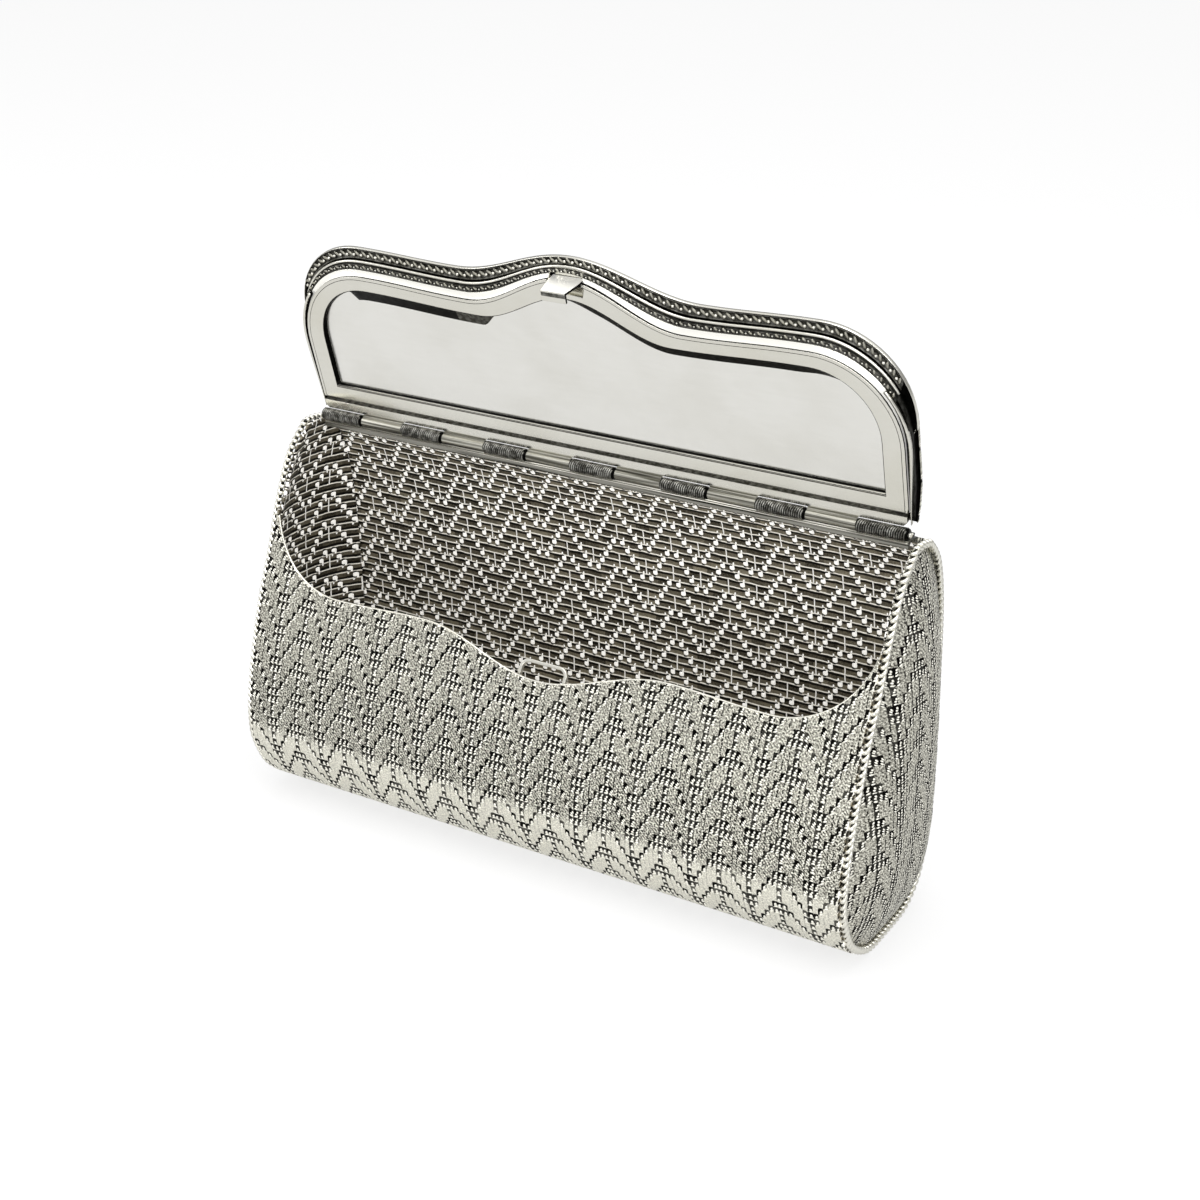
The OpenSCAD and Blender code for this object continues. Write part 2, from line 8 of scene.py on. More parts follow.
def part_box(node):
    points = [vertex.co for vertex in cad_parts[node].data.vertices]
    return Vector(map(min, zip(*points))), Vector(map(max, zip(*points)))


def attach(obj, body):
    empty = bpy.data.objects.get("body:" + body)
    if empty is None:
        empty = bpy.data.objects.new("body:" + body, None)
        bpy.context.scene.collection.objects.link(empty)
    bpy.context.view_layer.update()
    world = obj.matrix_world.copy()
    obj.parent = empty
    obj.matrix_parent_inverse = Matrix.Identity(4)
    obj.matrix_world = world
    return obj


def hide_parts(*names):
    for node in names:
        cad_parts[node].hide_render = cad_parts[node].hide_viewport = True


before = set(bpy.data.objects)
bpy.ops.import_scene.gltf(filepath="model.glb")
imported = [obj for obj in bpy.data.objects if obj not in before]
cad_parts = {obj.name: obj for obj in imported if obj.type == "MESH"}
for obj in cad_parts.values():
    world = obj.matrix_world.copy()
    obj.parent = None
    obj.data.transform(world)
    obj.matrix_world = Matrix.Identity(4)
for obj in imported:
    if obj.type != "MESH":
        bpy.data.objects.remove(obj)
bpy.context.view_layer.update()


# The camera looks down on the open bag from the front right, as the photograph does.
# The place and turn were solved from the polished lid, with a 60 mm lens.
MM = 0.001
HINGE = Vector((0, 9.1, 102.5)) * MM

eye = HINGE + Vector((245.78, -400.54, 171.13)) * MM
eye_right = Vector((0.8542, 0.5200, 0.0))
eye_up = Vector((-0.2094, 0.3440, 0.9153))
eye_back = eye_right.cross(eye_up)
camera = bpy.data.objects.new("camera", bpy.data.cameras.new("camera"))
camera.data.lens = 60
camera.data.sensor_width = 36
camera.data.clip_start = 0.02
camera.data.clip_end = 20
camera.matrix_world = Matrix.Translation(eye) @ Matrix((eye_right, eye_up, eye_back)).transposed().to_4x4()
bpy.context.scene.collection.objects.link(camera)
bpy.context.scene.camera = camera
bpy.context.scene.view_settings.view_transform = "Standard"


# Finishes are worked out as plain expressions: a Value is one socket of a material's nodes,
# and adding, multiplying or comparing Values adds the Math nodes for it.
class Value:
    def __init__(self, finish, socket):
        self.finish = finish
        self.socket = socket

    def sum(self, how, *others):
        sockets = {place: value for place, value in enumerate((self,) + others)}
        return self.finish.node("ShaderNodeMath", {"operation": how}, sockets)

    def __add__(self, other):
        return self.sum("ADD", other)

    def __sub__(self, other):
        return self.sum("SUBTRACT", other)

    def __rsub__(self, other):
        return self.sum("MULTIPLY_ADD", -1.0, other)

    def __mul__(self, other):
        return self.sum("MULTIPLY", other)

    def __truediv__(self, other):
        return self.sum("DIVIDE", other)

    def __mod__(self, other):
        return self.sum("FLOORED_MODULO", other)

    def __lt__(self, other):
        return self.sum("LESS_THAN", other)

    def __gt__(self, other):
        return self.sum("GREATER_THAN", other)

    __radd__ = __add__
    __rmul__ = __mul__

    def floor(self):
        return self.sum("FLOOR")

    def size(self):
        return self.sum("ABSOLUTE")

    def least(self, other):
        return self.sum("MINIMUM", other)

    def most(self, other):
        return self.sum("MAXIMUM", other)

    def between(self, low, high):
        """0 below low, 1 above high and smooth between them; low may be the higher number."""
        settings = {"interpolation_type": "SMOOTHSTEP", "clamp": True}
        return self.finish.node("ShaderNodeMapRange", settings, {0: self, 1: low, 2: high, 3: 0.0, 4: 1.0})


class Finish:
    def __init__(self, name, **fixed):
        self.material = bpy.data.materials.new(name)
        self.material.use_nodes = True
        self.tree = self.material.node_tree
        self.shader = self.tree.nodes["Principled BSDF"]
        for socket, value in fixed.items():
            self.shader.inputs[socket.replace("_", " ")].default_value = value

    def node(self, kind, settings=None, sockets=None, out=0):
        made = self.tree.nodes.new(kind)
        for name, value in (settings or {}).items():
            setattr(made, name, value)
        for place, value in (sockets or {}).items():
            if isinstance(value, Value):
                self.tree.links.new(value.socket, made.inputs[place])
            else:
                made.inputs[place].default_value = value
        return Value(self, made.outputs[out])

    def place(self):
        return self.node("ShaderNodeTexCoord", out="Object")

    def along(self, vector, axis):
        return self.node("ShaderNodeSeparateXYZ", None, {0: vector}, out=axis)

    def noise(self, vector, scale, detail=2.0, rough=0.5):
        sockets = {"Vector": vector, "Scale": scale, "Detail": detail, "Roughness": rough}
        return self.node("ShaderNodeTexNoise", None, sockets)

    def tint(self, share, first, second):
        return self.node("ShaderNodeMix", {"data_type": "RGBA"}, {0: share, 6: first, 7: second}, out=2)

    def wear(self, **sockets):
        for name, value in sockets.items():
            self.tree.links.new(value.socket, self.shader.inputs[name.replace("_", " ")])

    def relief(self, height, depth):
        """height runs from 0 to 1 and stands for that many metres of depth"""
        sockets = {"Height": height, "Distance": depth, "Strength": 1.0}
        self.wear(Normal=self.node("ShaderNodeBump", None, sockets))


def grey(level, warm=0.0):
    """a colour of silver: level says how light it is, and warm how far it leans from grey to yellow"""
    return (level * (1 + 0.4 * warm), level, level * (1 - 2 * warm), 1.0)


# The floor is a plain white sweep of paper, lit softly from above, from both sides and low in front.
# The sky is brightest overhead, so that edges which face up shine and faces which lean back stay greyer.
# To the camera the sky is plain white, and polished metal mirrors the paper a little darker than it is.
FLOOR_HALF = 6.0
PAPER_GLOW = 0.75
MIRRORED_DARKER = 0.32
SKY_HEIGHTS = (0.3, 0.8)
SKY_LEVELS = (0.36, 1.05)

sweep = bmesh.new()
bmesh.ops.create_grid(sweep, x_segments=1, y_segments=1, size=FLOOR_HALF)
floor = bpy.data.objects.new("floor", bpy.data.meshes.new("floor"))
sweep.to_mesh(floor.data)
sweep.free()
bpy.context.scene.collection.objects.link(floor)
paper = Finish("floor paper", Base_Color=grey(0.9), Roughness=0.9)
seen = paper.node("ShaderNodeLightPath", out="Is Camera Ray")
mirrored = paper.node("ShaderNodeLightPath", out="Is Glossy Ray")
strength = 1.0 - mirrored * MIRRORED_DARKER
white = paper.node("ShaderNodeEmission", None, {"Color": grey(1.0), "Strength": strength})
lit = Value(paper, paper.shader.outputs[0])
glow = (seen + mirrored).least(1.0) * PAPER_GLOW
shown = paper.node("ShaderNodeMixShader", None, {0: glow, 1: lit, 2: white})
paper.tree.links.new(shown.socket, paper.tree.nodes["Material Output"].inputs["Surface"])
floor.data.materials.append(paper.material)


def lamp(name, place, aim, size, power):
    light = bpy.data.objects.new(name, bpy.data.lights.new(name, "AREA"))
    light.data.size = size
    light.data.energy = power
    light.location = place
    light.rotation_mode = "QUATERNION"
    light.rotation_quaternion = (Vector(aim) - Vector(place)).to_track_quat("-Z", "Y")
    bpy.context.scene.collection.objects.link(light)


lamp("top light", (0.1, -0.2, 1.3), (0, 0, 0.05), 0.9, 9)
lamp("left light", (-1.1, -0.6, 0.7), (0, 0, 0.06), 0.5, 3.5)
lamp("right light", (1.0, -0.5, 0.8), (0, 0, 0.06), 0.5, 3.5)
lamp("front light", (0.2, -1.1, 0.2), (0, 0, 0.02), 0.5, 2.8)

world = bpy.data.worlds.new("studio")
world.use_nodes = True
bpy.context.scene.world = world
sky = world.node_tree
sky_way = sky.nodes.new("ShaderNodeTexCoord")
sky_height = sky.nodes.new("ShaderNodeSeparateXYZ")
sky_level = sky.nodes.new("ShaderNodeMapRange")
for place, value in enumerate(SKY_HEIGHTS + SKY_LEVELS, start=1):
    sky_level.inputs[place].default_value = value
sky.links.new(sky_way.outputs["Generated"], sky_height.inputs[0])
sky.links.new(sky_height.outputs[2], sky_level.inputs[0])
sky_seen = sky.nodes.new("ShaderNodeLightPath")
sky_shown = sky.nodes.new("ShaderNodeMath")
sky_shown.operation = "MAXIMUM"
sky.links.new(sky_level.outputs[0], sky_shown.inputs[0])
sky.links.new(sky_seen.outputs["Is Camera Ray"], sky_shown.inputs[1])
sky.links.new(sky_shown.outputs[0], sky.nodes["Background"].inputs["Color"])


# The body is one sheet of woven metal strip, bent round the bottom from the mouth up to the hinge.
# Outside, a zigzag of small holes steps across the weave. Inside, flat wefts lie like bricks between wires.
# A scalloped outline is its half width, shoulder, valley, peak, corner radius and the half width of its peak.
BODY_HALF = 87.6
SHEET = 1.2
BELLY = 35.2
BACK = 17.0
TALL = 102.5
BASE_DEPTH = 12
FRONT_FROM = 24
PROFILE_STEPS = 16
MOUTH = (88.0, 48.2, 47.2, 55.0, 24.4, 36.0)
LEAN = math.radians(16)
SHUT = math.radians(30)
COLUMN = 1.34
ROW = 2.155
REPEAT = 12
ZIGZAG_ROWS = 4
PEAK_ACROSS = 24.3
PEAK_ALONG = 74.5
BACK_DRIFT = 0.035
BACK_DRIFT_FROM = 70
RIB = 0.04
HOLE = 0.3
WIRE = 0.12
KNOT = 0.2
SAG = 1.15
SAG_TO = 0.8
LOOP_HOLDS = 0.55
LOOP_REACH = 16

front_shares = [(0.131, 0.006), (0.341, 0.078), (0.509, 0.194), (0.634, 0.312), (0.77, 0.424),
                (0.906, 0.571), (0.98, 0.683), (1, 0.76)]
front_low_shares = [(0.96, 0.83), (0.743, 0.922), (0.36, 0.983)]
back_low_shares = [(0.417, 0.983), (0.756, 0.927), (0.956, 0.82)]
back_shares = [(1, 0.683), (0.988, 0.527), (0.935, 0.351), (0.835, 0.195), (0.635, 0.083), (0.318, 0.0215)]
top_shares = [(0.13, 0.009), (-0.07, 0.004)]
base_front = -0.2 * BELLY - BASE_DEPTH / 2
base_back = base_front + BASE_DEPTH


def spline(points, steps):
    """a smooth line through all points but the first and last"""
    line = []
    for a, b, c, d in zip(points, points[1:], points[2:], points[3:]):
        for k in range(steps):
            t = k / steps
            line.append(0.5 * (2 * b + (c - a) * t + (2 * a - 5 * b + 4 * c - d) * t * t
                               + (3 * b - a - 3 * c + d) * t ** 3))
    return line + [points[-2]]


front_points = [Vector((-y * BELLY, -z * TALL)) for y, z in front_shares]
front_points += [Vector((base_front - y * (BELLY + base_front), -z * TALL)) for y, z in front_low_shares]
front_points.append(Vector((base_front, -TALL)))
back_points = [Vector((base_back, -TALL))]
back_points += [Vector((base_back + y * (BACK - base_back), -z * TALL)) for y, z in back_low_shares]
back_points += [Vector((y * BACK, -z * TALL)) for y, z in back_shares]
top_points = [Vector((y * BACK, -z * TALL)) for y, z in top_shares] + [front_points[0]]
level_front = Vector((2 * base_front - front_points[-2].x, front_points[-2].y))
level_back = Vector((2 * base_back - back_points[1].x, back_points[1].y))
front_line = spline([2 * front_points[0] - front_points[1]] + front_points + [level_front], PROFILE_STEPS)
rear = back_points + top_points
rear_line = spline([level_back] + rear + [2 * front_points[0] - rear[-2]], PROFILE_STEPS)
sheet_line = front_line + rear_line[:(len(back_points) - 1) * PROFILE_STEPS + 1]
whole_line = front_line + rear_line[:-1]


class Path:
    """a line in the side view, read by the length along it"""

    def __init__(self, points, closed=False):
        self.points = points + points[:1] if closed else points
        self.ends = [0.0]
        for a, b in zip(self.points, self.points[1:]):
            self.ends.append(self.ends[-1] + (b - a).length)
        self.length = self.ends[-1]

    def at(self, s):
        s = min(max(s, 0.0), self.length)
        low, high = 0, len(self.ends) - 1
        while high - low > 1:
            middle = (low + high) // 2
            if self.ends[middle] <= s:
                low = middle
            else:
                high = middle
        share = (s - self.ends[low]) / max(self.ends[high] - self.ends[low], 1e-9)
        return self.points[low].lerp(self.points[high], share)

    def outward(self, s):
        way = (self.at(s + 0.6) - self.at(s - 0.6)).normalized()
        return Vector((way.y, -way.x))


sheet_path = Path(sheet_line)
front_length = Path(front_line).length


def ease(t):
    return (1 - math.cos(math.pi * min(max(t, 0.0), 1.0))) / 2


def edge_height(sizes, u):
    """how high a scalloped outline is at u, between its round corners"""
    half, shoulder, valley, peak, corner, foot = sizes
    return (valley + (shoulder - valley) * ease((abs(u) - foot) / (half - corner - foot))
            + (peak - valley) * (1 - ease(abs(u) / foot)))


def outline_top(sizes, u):
    """how high a scalloped outline is at u, from end to end"""
    half, shoulder, valley, peak, corner, foot = sizes
    beyond = abs(u) - (half - corner)
    if beyond > 0:
        return shoulder - corner + math.sqrt(max(corner ** 2 - beyond ** 2, 0.0))
    return edge_height(sizes, u)


def depth_to_length(v):
    """length along the front at which a point lies v below the hinge, along the shut lid"""
    last_level, last_length = 0.0, 0.0
    for length, p in zip(sheet_path.ends, front_line):
        level = -p.x * math.sin(SHUT) - p.y * math.cos(SHUT)
        if level >= v:
            return last_length + (length - last_length) * (v - last_level) / max(level - last_level, 1e-9)
        last_level, last_length = level, length
    return front_length


def weave_cell(across, along):
    """the place in a cell of the weave, from -0.5 to 0.5, the columns from the zigzag's peak to the cell, and
    the rows that it lies below the zigzag's line"""
    column, row = math.floor(across / COLUMN), math.floor(along / ROW)
    from_peak = min(column % REPEAT, REPEAT - column % REPEAT)
    below = (row - min(max(from_peak - 1, 0), ZIGZAG_ROWS)) % ZIGZAG_ROWS
    return across / COLUMN - column - 0.5, along / ROW - row - 0.5, from_peak, below


def hill(x, y, wide, tall):
    return math.exp(-(x / wide) ** 2 - (y / tall) ** 2)


def outside_relief(across, along):
    """height of the outer face of the weave, in mm"""
    x, y, from_peak, below = weave_cell(across, along)
    rib = RIB * math.cos(2 * math.pi * x)
    if below and not (below == 1 and from_peak in (0, 1, 5, 6)):
        return rib
    return rib - HOLE * hill(x, y + 0.2, 0.5, 0.3)


def inside_relief(across, along):
    """height of the inner face of the weave, in mm"""
    x, y, from_peak, below = weave_cell(across, along)
    wire = WIRE * math.exp(-((abs(y) - 0.5) / 0.12) ** 2)
    if below or not 1 <= from_peak <= 5:
        return wire
    return wire + KNOT * hill(x, y, 0.5, 0.3)


def sag(x, s):
    """how far the soft front hangs inward, in mm, most just under the mouth, least at the loop and seams"""
    if s >= front_length:
        return 0.0
    side = math.cos(math.pi / 2 * x / BODY_HALF) ** 0.6
    middle = 1 - LOOP_HOLDS * math.exp(-(x / LOOP_REACH) ** 2)
    return SAG * side * middle * (1 - ease(s / (front_length * SAG_TO)))


def new_piece(name, bm):
    bmesh.ops.recalc_face_normals(bm, faces=bm.faces)
    for face in bm.faces:
        face.smooth = True
    mesh = bpy.data.meshes.new(name)
    bm.to_mesh(mesh)
    bm.free()
    piece = bpy.data.objects.new(name, mesh)
    bpy.context.scene.collection.objects.link(piece)
    return piece


def woven_shell(name, across_lines, along_lines, place, out_relief, in_relief, thick, merge=0.02):
    """A sheet with the weave's relief on both faces, from a grid that is bent into shape. place(a, b) gives a
    point, its outward way and the two lengths that the weave is read by. All is in mm, and points closer than
    merge become one."""
    bm = bmesh.new()
    weave = bm.loops.layers.uv.new("weave")
    columns, rows = len(across_lines) - 1, len(along_lines) - 1
    for face_side in (1, -1):
        grid = bmesh.ops.create_grid(bm, x_segments=columns, y_segments=rows, size=0.5)["verts"]
        lengths = {}
        for vert in grid:
            a = across_lines[round((vert.co.x + 0.5) * columns)]
            b = along_lines[round((vert.co.y + 0.5) * rows)]
            point, way, across, along = place(a, b)
            rise = out_relief(across, along) if face_side > 0 else -thick - in_relief(across, along)
            vert.co = HINGE + (point + way * rise) * MM
            lengths[vert] = (across, along)
        faces = {face for vert in grid for face in vert.link_faces}
        for face in faces:
            face.material_index = 0 if face_side > 0 else 1
            for loop in face.loops:
                loop[weave].uv = lengths[loop.vert]
        bmesh.ops.remove_doubles(bm, verts=grid, dist=merge * MM)
    bm.normal_update()
    loose = [edge for edge in bm.edges if not edge.link_faces]
    bmesh.ops.delete(bm, geom=loose, context="EDGES")
    bmesh.ops.bridge_loops(bm, edges=[edge for edge in bm.edges if edge.is_boundary])
    return new_piece(name, bm)


def steps(low, high, pitch):
    """lines a pitch apart on multiples of it, with the first and last drawn in to low and high"""
    first, last = math.floor(low / pitch), math.ceil(high / pitch)
    return [min(max(k * pitch, low), high) for k in range(first, last + 1)]


mouth_lengths = {}


def on_sheet(x, s):
    """a point of the sheet, its outward way and its place in the weave, in which a peak starts at 0, 0"""
    if x not in mouth_lengths:
        mouth_lengths[x] = depth_to_length(outline_top(MOUTH, x))
    s = max(s, mouth_lengths[x])
    out = sheet_path.outward(s)
    side = sheet_path.at(s) - out * sag(x, s)
    across = x - PEAK_ACROSS + COLUMN / 2 + BACK_DRIFT * max(s - front_length - BACK_DRIFT_FROM, 0)
    return Vector((x, side.x, side.y)), Vector((0, out.x, out.y)), across, s - PEAK_ALONG + ROW / 2


def weave_cells(finish):
    """the cell of the weave that a point is in, its place in it from -0.5 to 0.5, and the zigzag there"""
    lengths = finish.node("ShaderNodeUVMap", {"uv_map": "weave"})
    stray = (finish.noise(lengths, 0.35, 1.0) - 0.5) * 0.5
    across = (finish.along(lengths, 0) + stray * 0.4) / COLUMN
    along = (finish.along(lengths, 1) + stray) / ROW
    column, row = across.floor(), along.floor()
    x, y = across - column - 0.5, along - row - 0.5
    turn = column % REPEAT
    falls = (turn < REPEAT / 2 - 0.5) * 2.0 - 1.0
    from_peak = turn.sum("PINGPONG", REPEAT / 2)
    line = (from_peak - 1.0).most(0.0).least(ZIGZAG_ROWS)
    below = (row - line + 0.5).floor() % ZIGZAG_ROWS
    return lengths, x, y, column, row, falls, from_peak, below


def spot(x, y, wide, tall, soft=0.35):
    """1 inside an oval, 0 outside it"""
    across, up = x / wide, y / tall
    return (across * across + up * up).between(1 + soft, 1 - soft)


def dome(x, y, wide, tall):
    """1 in the middle of an oval, falling like a ball to 0 at its edge"""
    across, up = x / wide, y / tall
    return (1.0 - across * across - up * up).most(0.0)


def odd_share(finish, across, along):
    """a share between 0 and 1 for each pair of whole numbers"""
    pair = finish.node("ShaderNodeCombineXYZ", None, {0: across, 1: along})
    return finish.node("ShaderNodeTexWhiteNoise", {"noise_dimensions": "2D"}, {0: pair})


BASE_MIDDLE = front_length + BASE_DEPTH / 2
BELLY_HIGHLIGHT_TO = BASE_MIDDLE - PEAK_ALONG + 5
HATCH_PITCH = 1.0
STRIP_BUMP = 0.00045
GAP_SHADE_AND_HATCH_DARK = grey(0.012, 0.14)
HOLE_SHADE_DARK = grey(0.001, 0.3)
SPECK_GLINT_WHITE = grey(1.0, 0.06)
BELLY_HIGHLIGHT_WHITE = grey(0.97, 0.06)
GLINT_WHITE = grey(1.0, 0.05)


def outside_weave(name, base, arched_from, gape=1.0):
    """base is the grey of the strip and gape widens the holes; from arched_from, in mm down the front, to the
    base the weave is painted lighter, a painted highlight for the light on the belly, and its holes are
    arches instead of hooks"""
    finish = Finish(name)
    lengths, x, y, column, row, falls, from_peak, below = weave_cells(finish)
    across, along = finish.along(lengths, 0), finish.along(lengths, 1)
    # low marks the belly, where the holes turn to arches and the strip is painted lighter as a highlight
    low = along.between(arched_from, arched_from + 5.0) * along.between(BELLY_HIGHLIGHT_TO, BELLY_HIGHLIGHT_TO - 10.0)
    from_slope = (from_peak - REPEAT / 4).size()
    straight = from_slope > 2.5
    second = (from_slope > 1.5) * (below > 0.5) * (below < 1.5)
    middle = straight * (below > 1.5)
    depth = (below < 0.5) + (second + middle) * 0.95
    slant = y - x * falls * 0.3 * (1.0 - straight)
    hook = spot(x + 0.05, slant + 0.12, 0.64 * gape, 0.36 * gape, 0.2)
    hook = hook.most(spot(x + 0.34, y - 0.08, 0.32 * gape, 0.58, 0.2))
    arch = spot(x, slant + 0.2, 0.7, 0.3).most(spot(x - falls * 0.36, slant - 0.08, 0.24, 0.44))
    arch = arch.most(spot(x + falls * 0.44, slant + 0.02, 0.12, 0.26))
    # painted shade: the holes are tinted near black, each cell a little darker or lighter at random
    hole_shade_spread = odd_share(finish, column, row)
    dark = (hook + (arch - hook) * low) * depth * (0.85 + hole_shade_spread * 0.3).least(1.0)
    # painted highlights: small grains, loops and a lip round each hole are tinted white and made less
    # metallic, as glints
    grain = dome(x - 0.3, slant + 0.12, 0.22, 0.14).most(dome(x - 0.1, slant - 0.12, 0.26, 0.11))
    loop = dome(x + falls * 0.08, slant - 0.1, 0.26, 0.17)
    lip = dome(x - 0.06, slant - 0.42, 0.38, 0.12)
    light = (grain + (loop - grain) * low).most(lip) * depth
    # painted shade: some gaps between columns of strip are darkened as streaks; the hatching and dark specks
    # share this dark colour
    pulled = odd_share(finish, column + (x > 0.0), (row / 2.0).floor())
    groove = x.size().between(0.3, 0.46) * pulled.between(0.4, 0.7)
    hatching = ((along - across) * (2 * math.pi / HATCH_PITCH)).sum("SINE") * 0.5 + 0.5
    strong = 0.4 + along.between(-12.0, -2.0) * along.between(16.0, 10.0) * 0.4 - low * 0.15
    speck = finish.noise(lengths, 2.1, 2.0, 0.7)
    shade = 1.0 - groove - hatching * strong - speck.between(0.5, 0.64) * (0.65 - low * 0.4)
    metal = finish.tint(shade, GAP_SHADE_AND_HATCH_DARK, grey(base, 0.07))
    # random specks: the light ones are painted glints, the dark ones are random darker tone
    metal = finish.tint(speck.between(0.48, 0.4 + low * 0.04), metal, SPECK_GLINT_WHITE)
    # painted highlight: the belly is tinted towards white, standing in for the light that falls on it
    metal = finish.tint(low * 0.55, metal, BELLY_HIGHLIGHT_WHITE)
    metal = finish.tint(dark, metal, HOLE_SHADE_DARK)
    metal = finish.tint((light * 2.8).least(1.0), metal, GLINT_WHITE)
    height = 0.55 - dark * 0.5 + light * 0.45 - groove * 0.2 + hatching * 0.12 - speck * 0.15
    finish.wear(Base_Color=metal, Roughness=0.4 + dark * 0.4 - light * 0.12,
                Metallic=0.9 - (light * 1.4).least(0.9))
    finish.relief(height, STRIP_BUMP)
    return finish.material


WEFT_DARK = (0.02, 0.016, 0.009, 1)
WEFT_WARMTH = (1.0, 0.89, 0.66)
WEFT_BUMP = 0.0004
WIRE_SHADOW_DARK = (0.004, 0.003, 0.002, 1)
WIRE_PALE = (0.97, 0.93, 0.83, 1)
SHADOW_DARK = (0.008, 0.006, 0.004, 1)
KNOT_HIGHLIGHT_WHITE = grey(0.99, 0.01)
NO_SPARKLE = (0, 0, 0, 1)
SPARKLE = (1, 0.97, 0.9, 1)


def inside_weave(name, base):
    """base is the level of the flat wefts"""
    finish = Finish(name, Emission_Strength=1.0)
    lengths, x, y, column, row, falls, from_peak, below = weave_cells(finish)
    slope = (from_peak - REPEAT / 4).size() < 2.5
    knot_here = slope * (below < 0.5)
    stem_here = (1.0 - slope) * (below > 0.5) * (below < 2.5)
    tail_here = slope * (below > 0.5) * (below < 1.5)
    knot = spot(x, y - 0.02, 0.6, 0.3, 0.25) * knot_here
    knot = knot.most(spot(x - 0.3, y - 0.34, 0.2, 0.22, 0.25) * knot_here)
    knot = knot.most(spot(x + falls * 0.38, y + 0.32, 0.2, 0.15, 0.25) * tail_here)
    knot = knot.most(spot(x, y, 0.13, 0.7) * stem_here * 0.8)
    shadow = spot(x + 0.1, y - 0.38, 0.32, 0.17) * knot_here
    shadow = shadow.most(spot(x + 0.2, y + 0.38, 0.36, 0.17) * knot_here)
    wire = y.size().between(0.39, 0.45)
    # painted shadow: a dark line under each wire
    wire_shadow = spot(y - 0.26, x * 0.0, 0.18, 1.0, 0.4)
    odd = odd_share(finish, ((column + (row % 2.0) * 1.5) / 3.0).floor(), row)
    shade = odd * 0.6 + finish.noise(lengths, 2.4, 3.0) - 0.35
    metal = finish.tint(shade, WEFT_DARK, (*(base * part for part in WEFT_WARMTH), 1))
    metal = finish.tint(wire_shadow * 0.95, metal, WIRE_SHADOW_DARK)
    metal = finish.tint(wire, metal, WIRE_PALE)
    metal = finish.tint(shadow, metal, SHADOW_DARK)
    # painted highlight: the knots are tinted white and made less metallic
    metal = finish.tint(knot, metal, KNOT_HIGHLIGHT_WHITE)
    # painted glints: the knots and wires glow faintly through Emission, though they are no lamp
    sparkle = (wire * (1.0 - shadow) * 0.14).most(knot * 0.42)
    finish.wear(Base_Color=metal, Roughness=0.42 - knot * 0.1, Metallic=0.75 - (knot + wire).least(1.0) * 0.6,
                Emission_Color=finish.tint(sparkle, NO_SPARKLE, SPARKLE))
    finish.relief(0.2 + wire * 0.25 + knot * 0.6 - shadow * 0.2, WEFT_BUMP)
    return finish.material


def dress(piece, body, slot, nodes, *materials):
    """gives a piece its materials, and lets it stand for CAD nodes and ride on a body; slot is not used"""
    for material in materials:
        piece.data.materials.append(material)
    if nodes:
        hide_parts(*nodes)
    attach(piece, body)
    return piece


woven_outside = outside_weave("woven outside", 0.58, 10.0)
woven_inside = inside_weave("woven inside", 0.5)
across_sheet = steps(-BODY_HALF, BODY_HALF, COLUMN / 2)
halves = (("woven_front", FRONT_FROM, BASE_MIDDLE), ("woven_back", BASE_MIDDLE, sheet_path.length))
for name, low, high in halves:
    along_sheet = steps(low, high, ROW / 3)
    sheet = woven_shell(name, across_sheet, along_sheet, on_sheet, outside_relief, inside_relief, SHEET)
    dress(sheet, "purse_body", "woven_metal", ["woven_wrap"], woven_outside, woven_inside)


# Each gusset is a woven plate that closes one end of the bag and swells outward.
# It is bound to the sheet all the way round, so its edge is thin and stays flat.
GUSSET_FACE = 87.5
GUSSET_THICK = 0.9
GUSSET_THIN = 0.2
GUSSET_SWELL = 7.5
GUSSET_ROUND = 3.2
GUSSET_RINGS = 64
GUSSET_STEPS = 300
SEAM_INSET = 1.3
gusset_middle = Vector((-0.26 * BELLY, -0.62 * TALL))


def inset_line(line, depth):
    """a closed line drawn in by depth, read at even lengths"""
    path = Path(line, closed=True)
    inner = []
    for k in range(GUSSET_STEPS):
        s = path.length * k / GUSSET_STEPS
        way = (path.at((s + 0.5) % path.length) - path.at((s - 0.5) % path.length)).normalized()
        inner.append(path.at(s) + Vector((-way.y, way.x)) * depth)
    return inner


gusset_edge = inset_line(whole_line, SEAM_INSET)
woven_gusset = outside_weave("woven gusset", 0.56, 200.0, 1.5)
# painted shade: the inside of the gussets has darker wefts, for the shade at the ends of the bag
shaded_gusset_inside = inside_weave("woven gusset inside", 0.3)
for side, node, name in ((-1, "left_gusset", "woven_gusset_left"), (1, "right_gusset", "woven_gusset_right")):
    def on_gusset(step, ring):
        share = ring / GUSSET_RINGS
        swell = GUSSET_SWELL * (1 - (1 - share) ** GUSSET_ROUND)
        q = gusset_edge[step % GUSSET_STEPS].lerp(gusset_middle, share)
        outward = Vector((side if 0.01 < share < 0.97 else side * GUSSET_THIN, 0, 0))
        point = Vector((side * (GUSSET_FACE + swell), q.x, q.y))
        return point, outward, q.x - gusset_middle.x + COLUMN / 2, -q.y

    gusset = woven_shell(name, range(GUSSET_STEPS + 1), range(GUSSET_RINGS + 1), on_gusset,
                         outside_relief, inside_relief, GUSSET_THICK, 0.004)
    dress(gusset, "purse_body", "gusset_metal", [node], woven_gusset, shaded_gusset_inside)


# The seams are overcast: a bright silver wire is wound over the edges of the sheet and the gusset, round a
# core painted dark as the shade between the turns. Each turn leans a little, and the turns lie side by side.
SEAM_ACROSS = 88.5
SEAM_TURN = 1.8
SEAM_WIND = 0.56
SEAM_WIRE = 0.52
SEAM_LEAN = 0.6
SEAM_CORE = 0.5
SEAM_STEPS = 9
SEAM_CORE_STEPS = 180


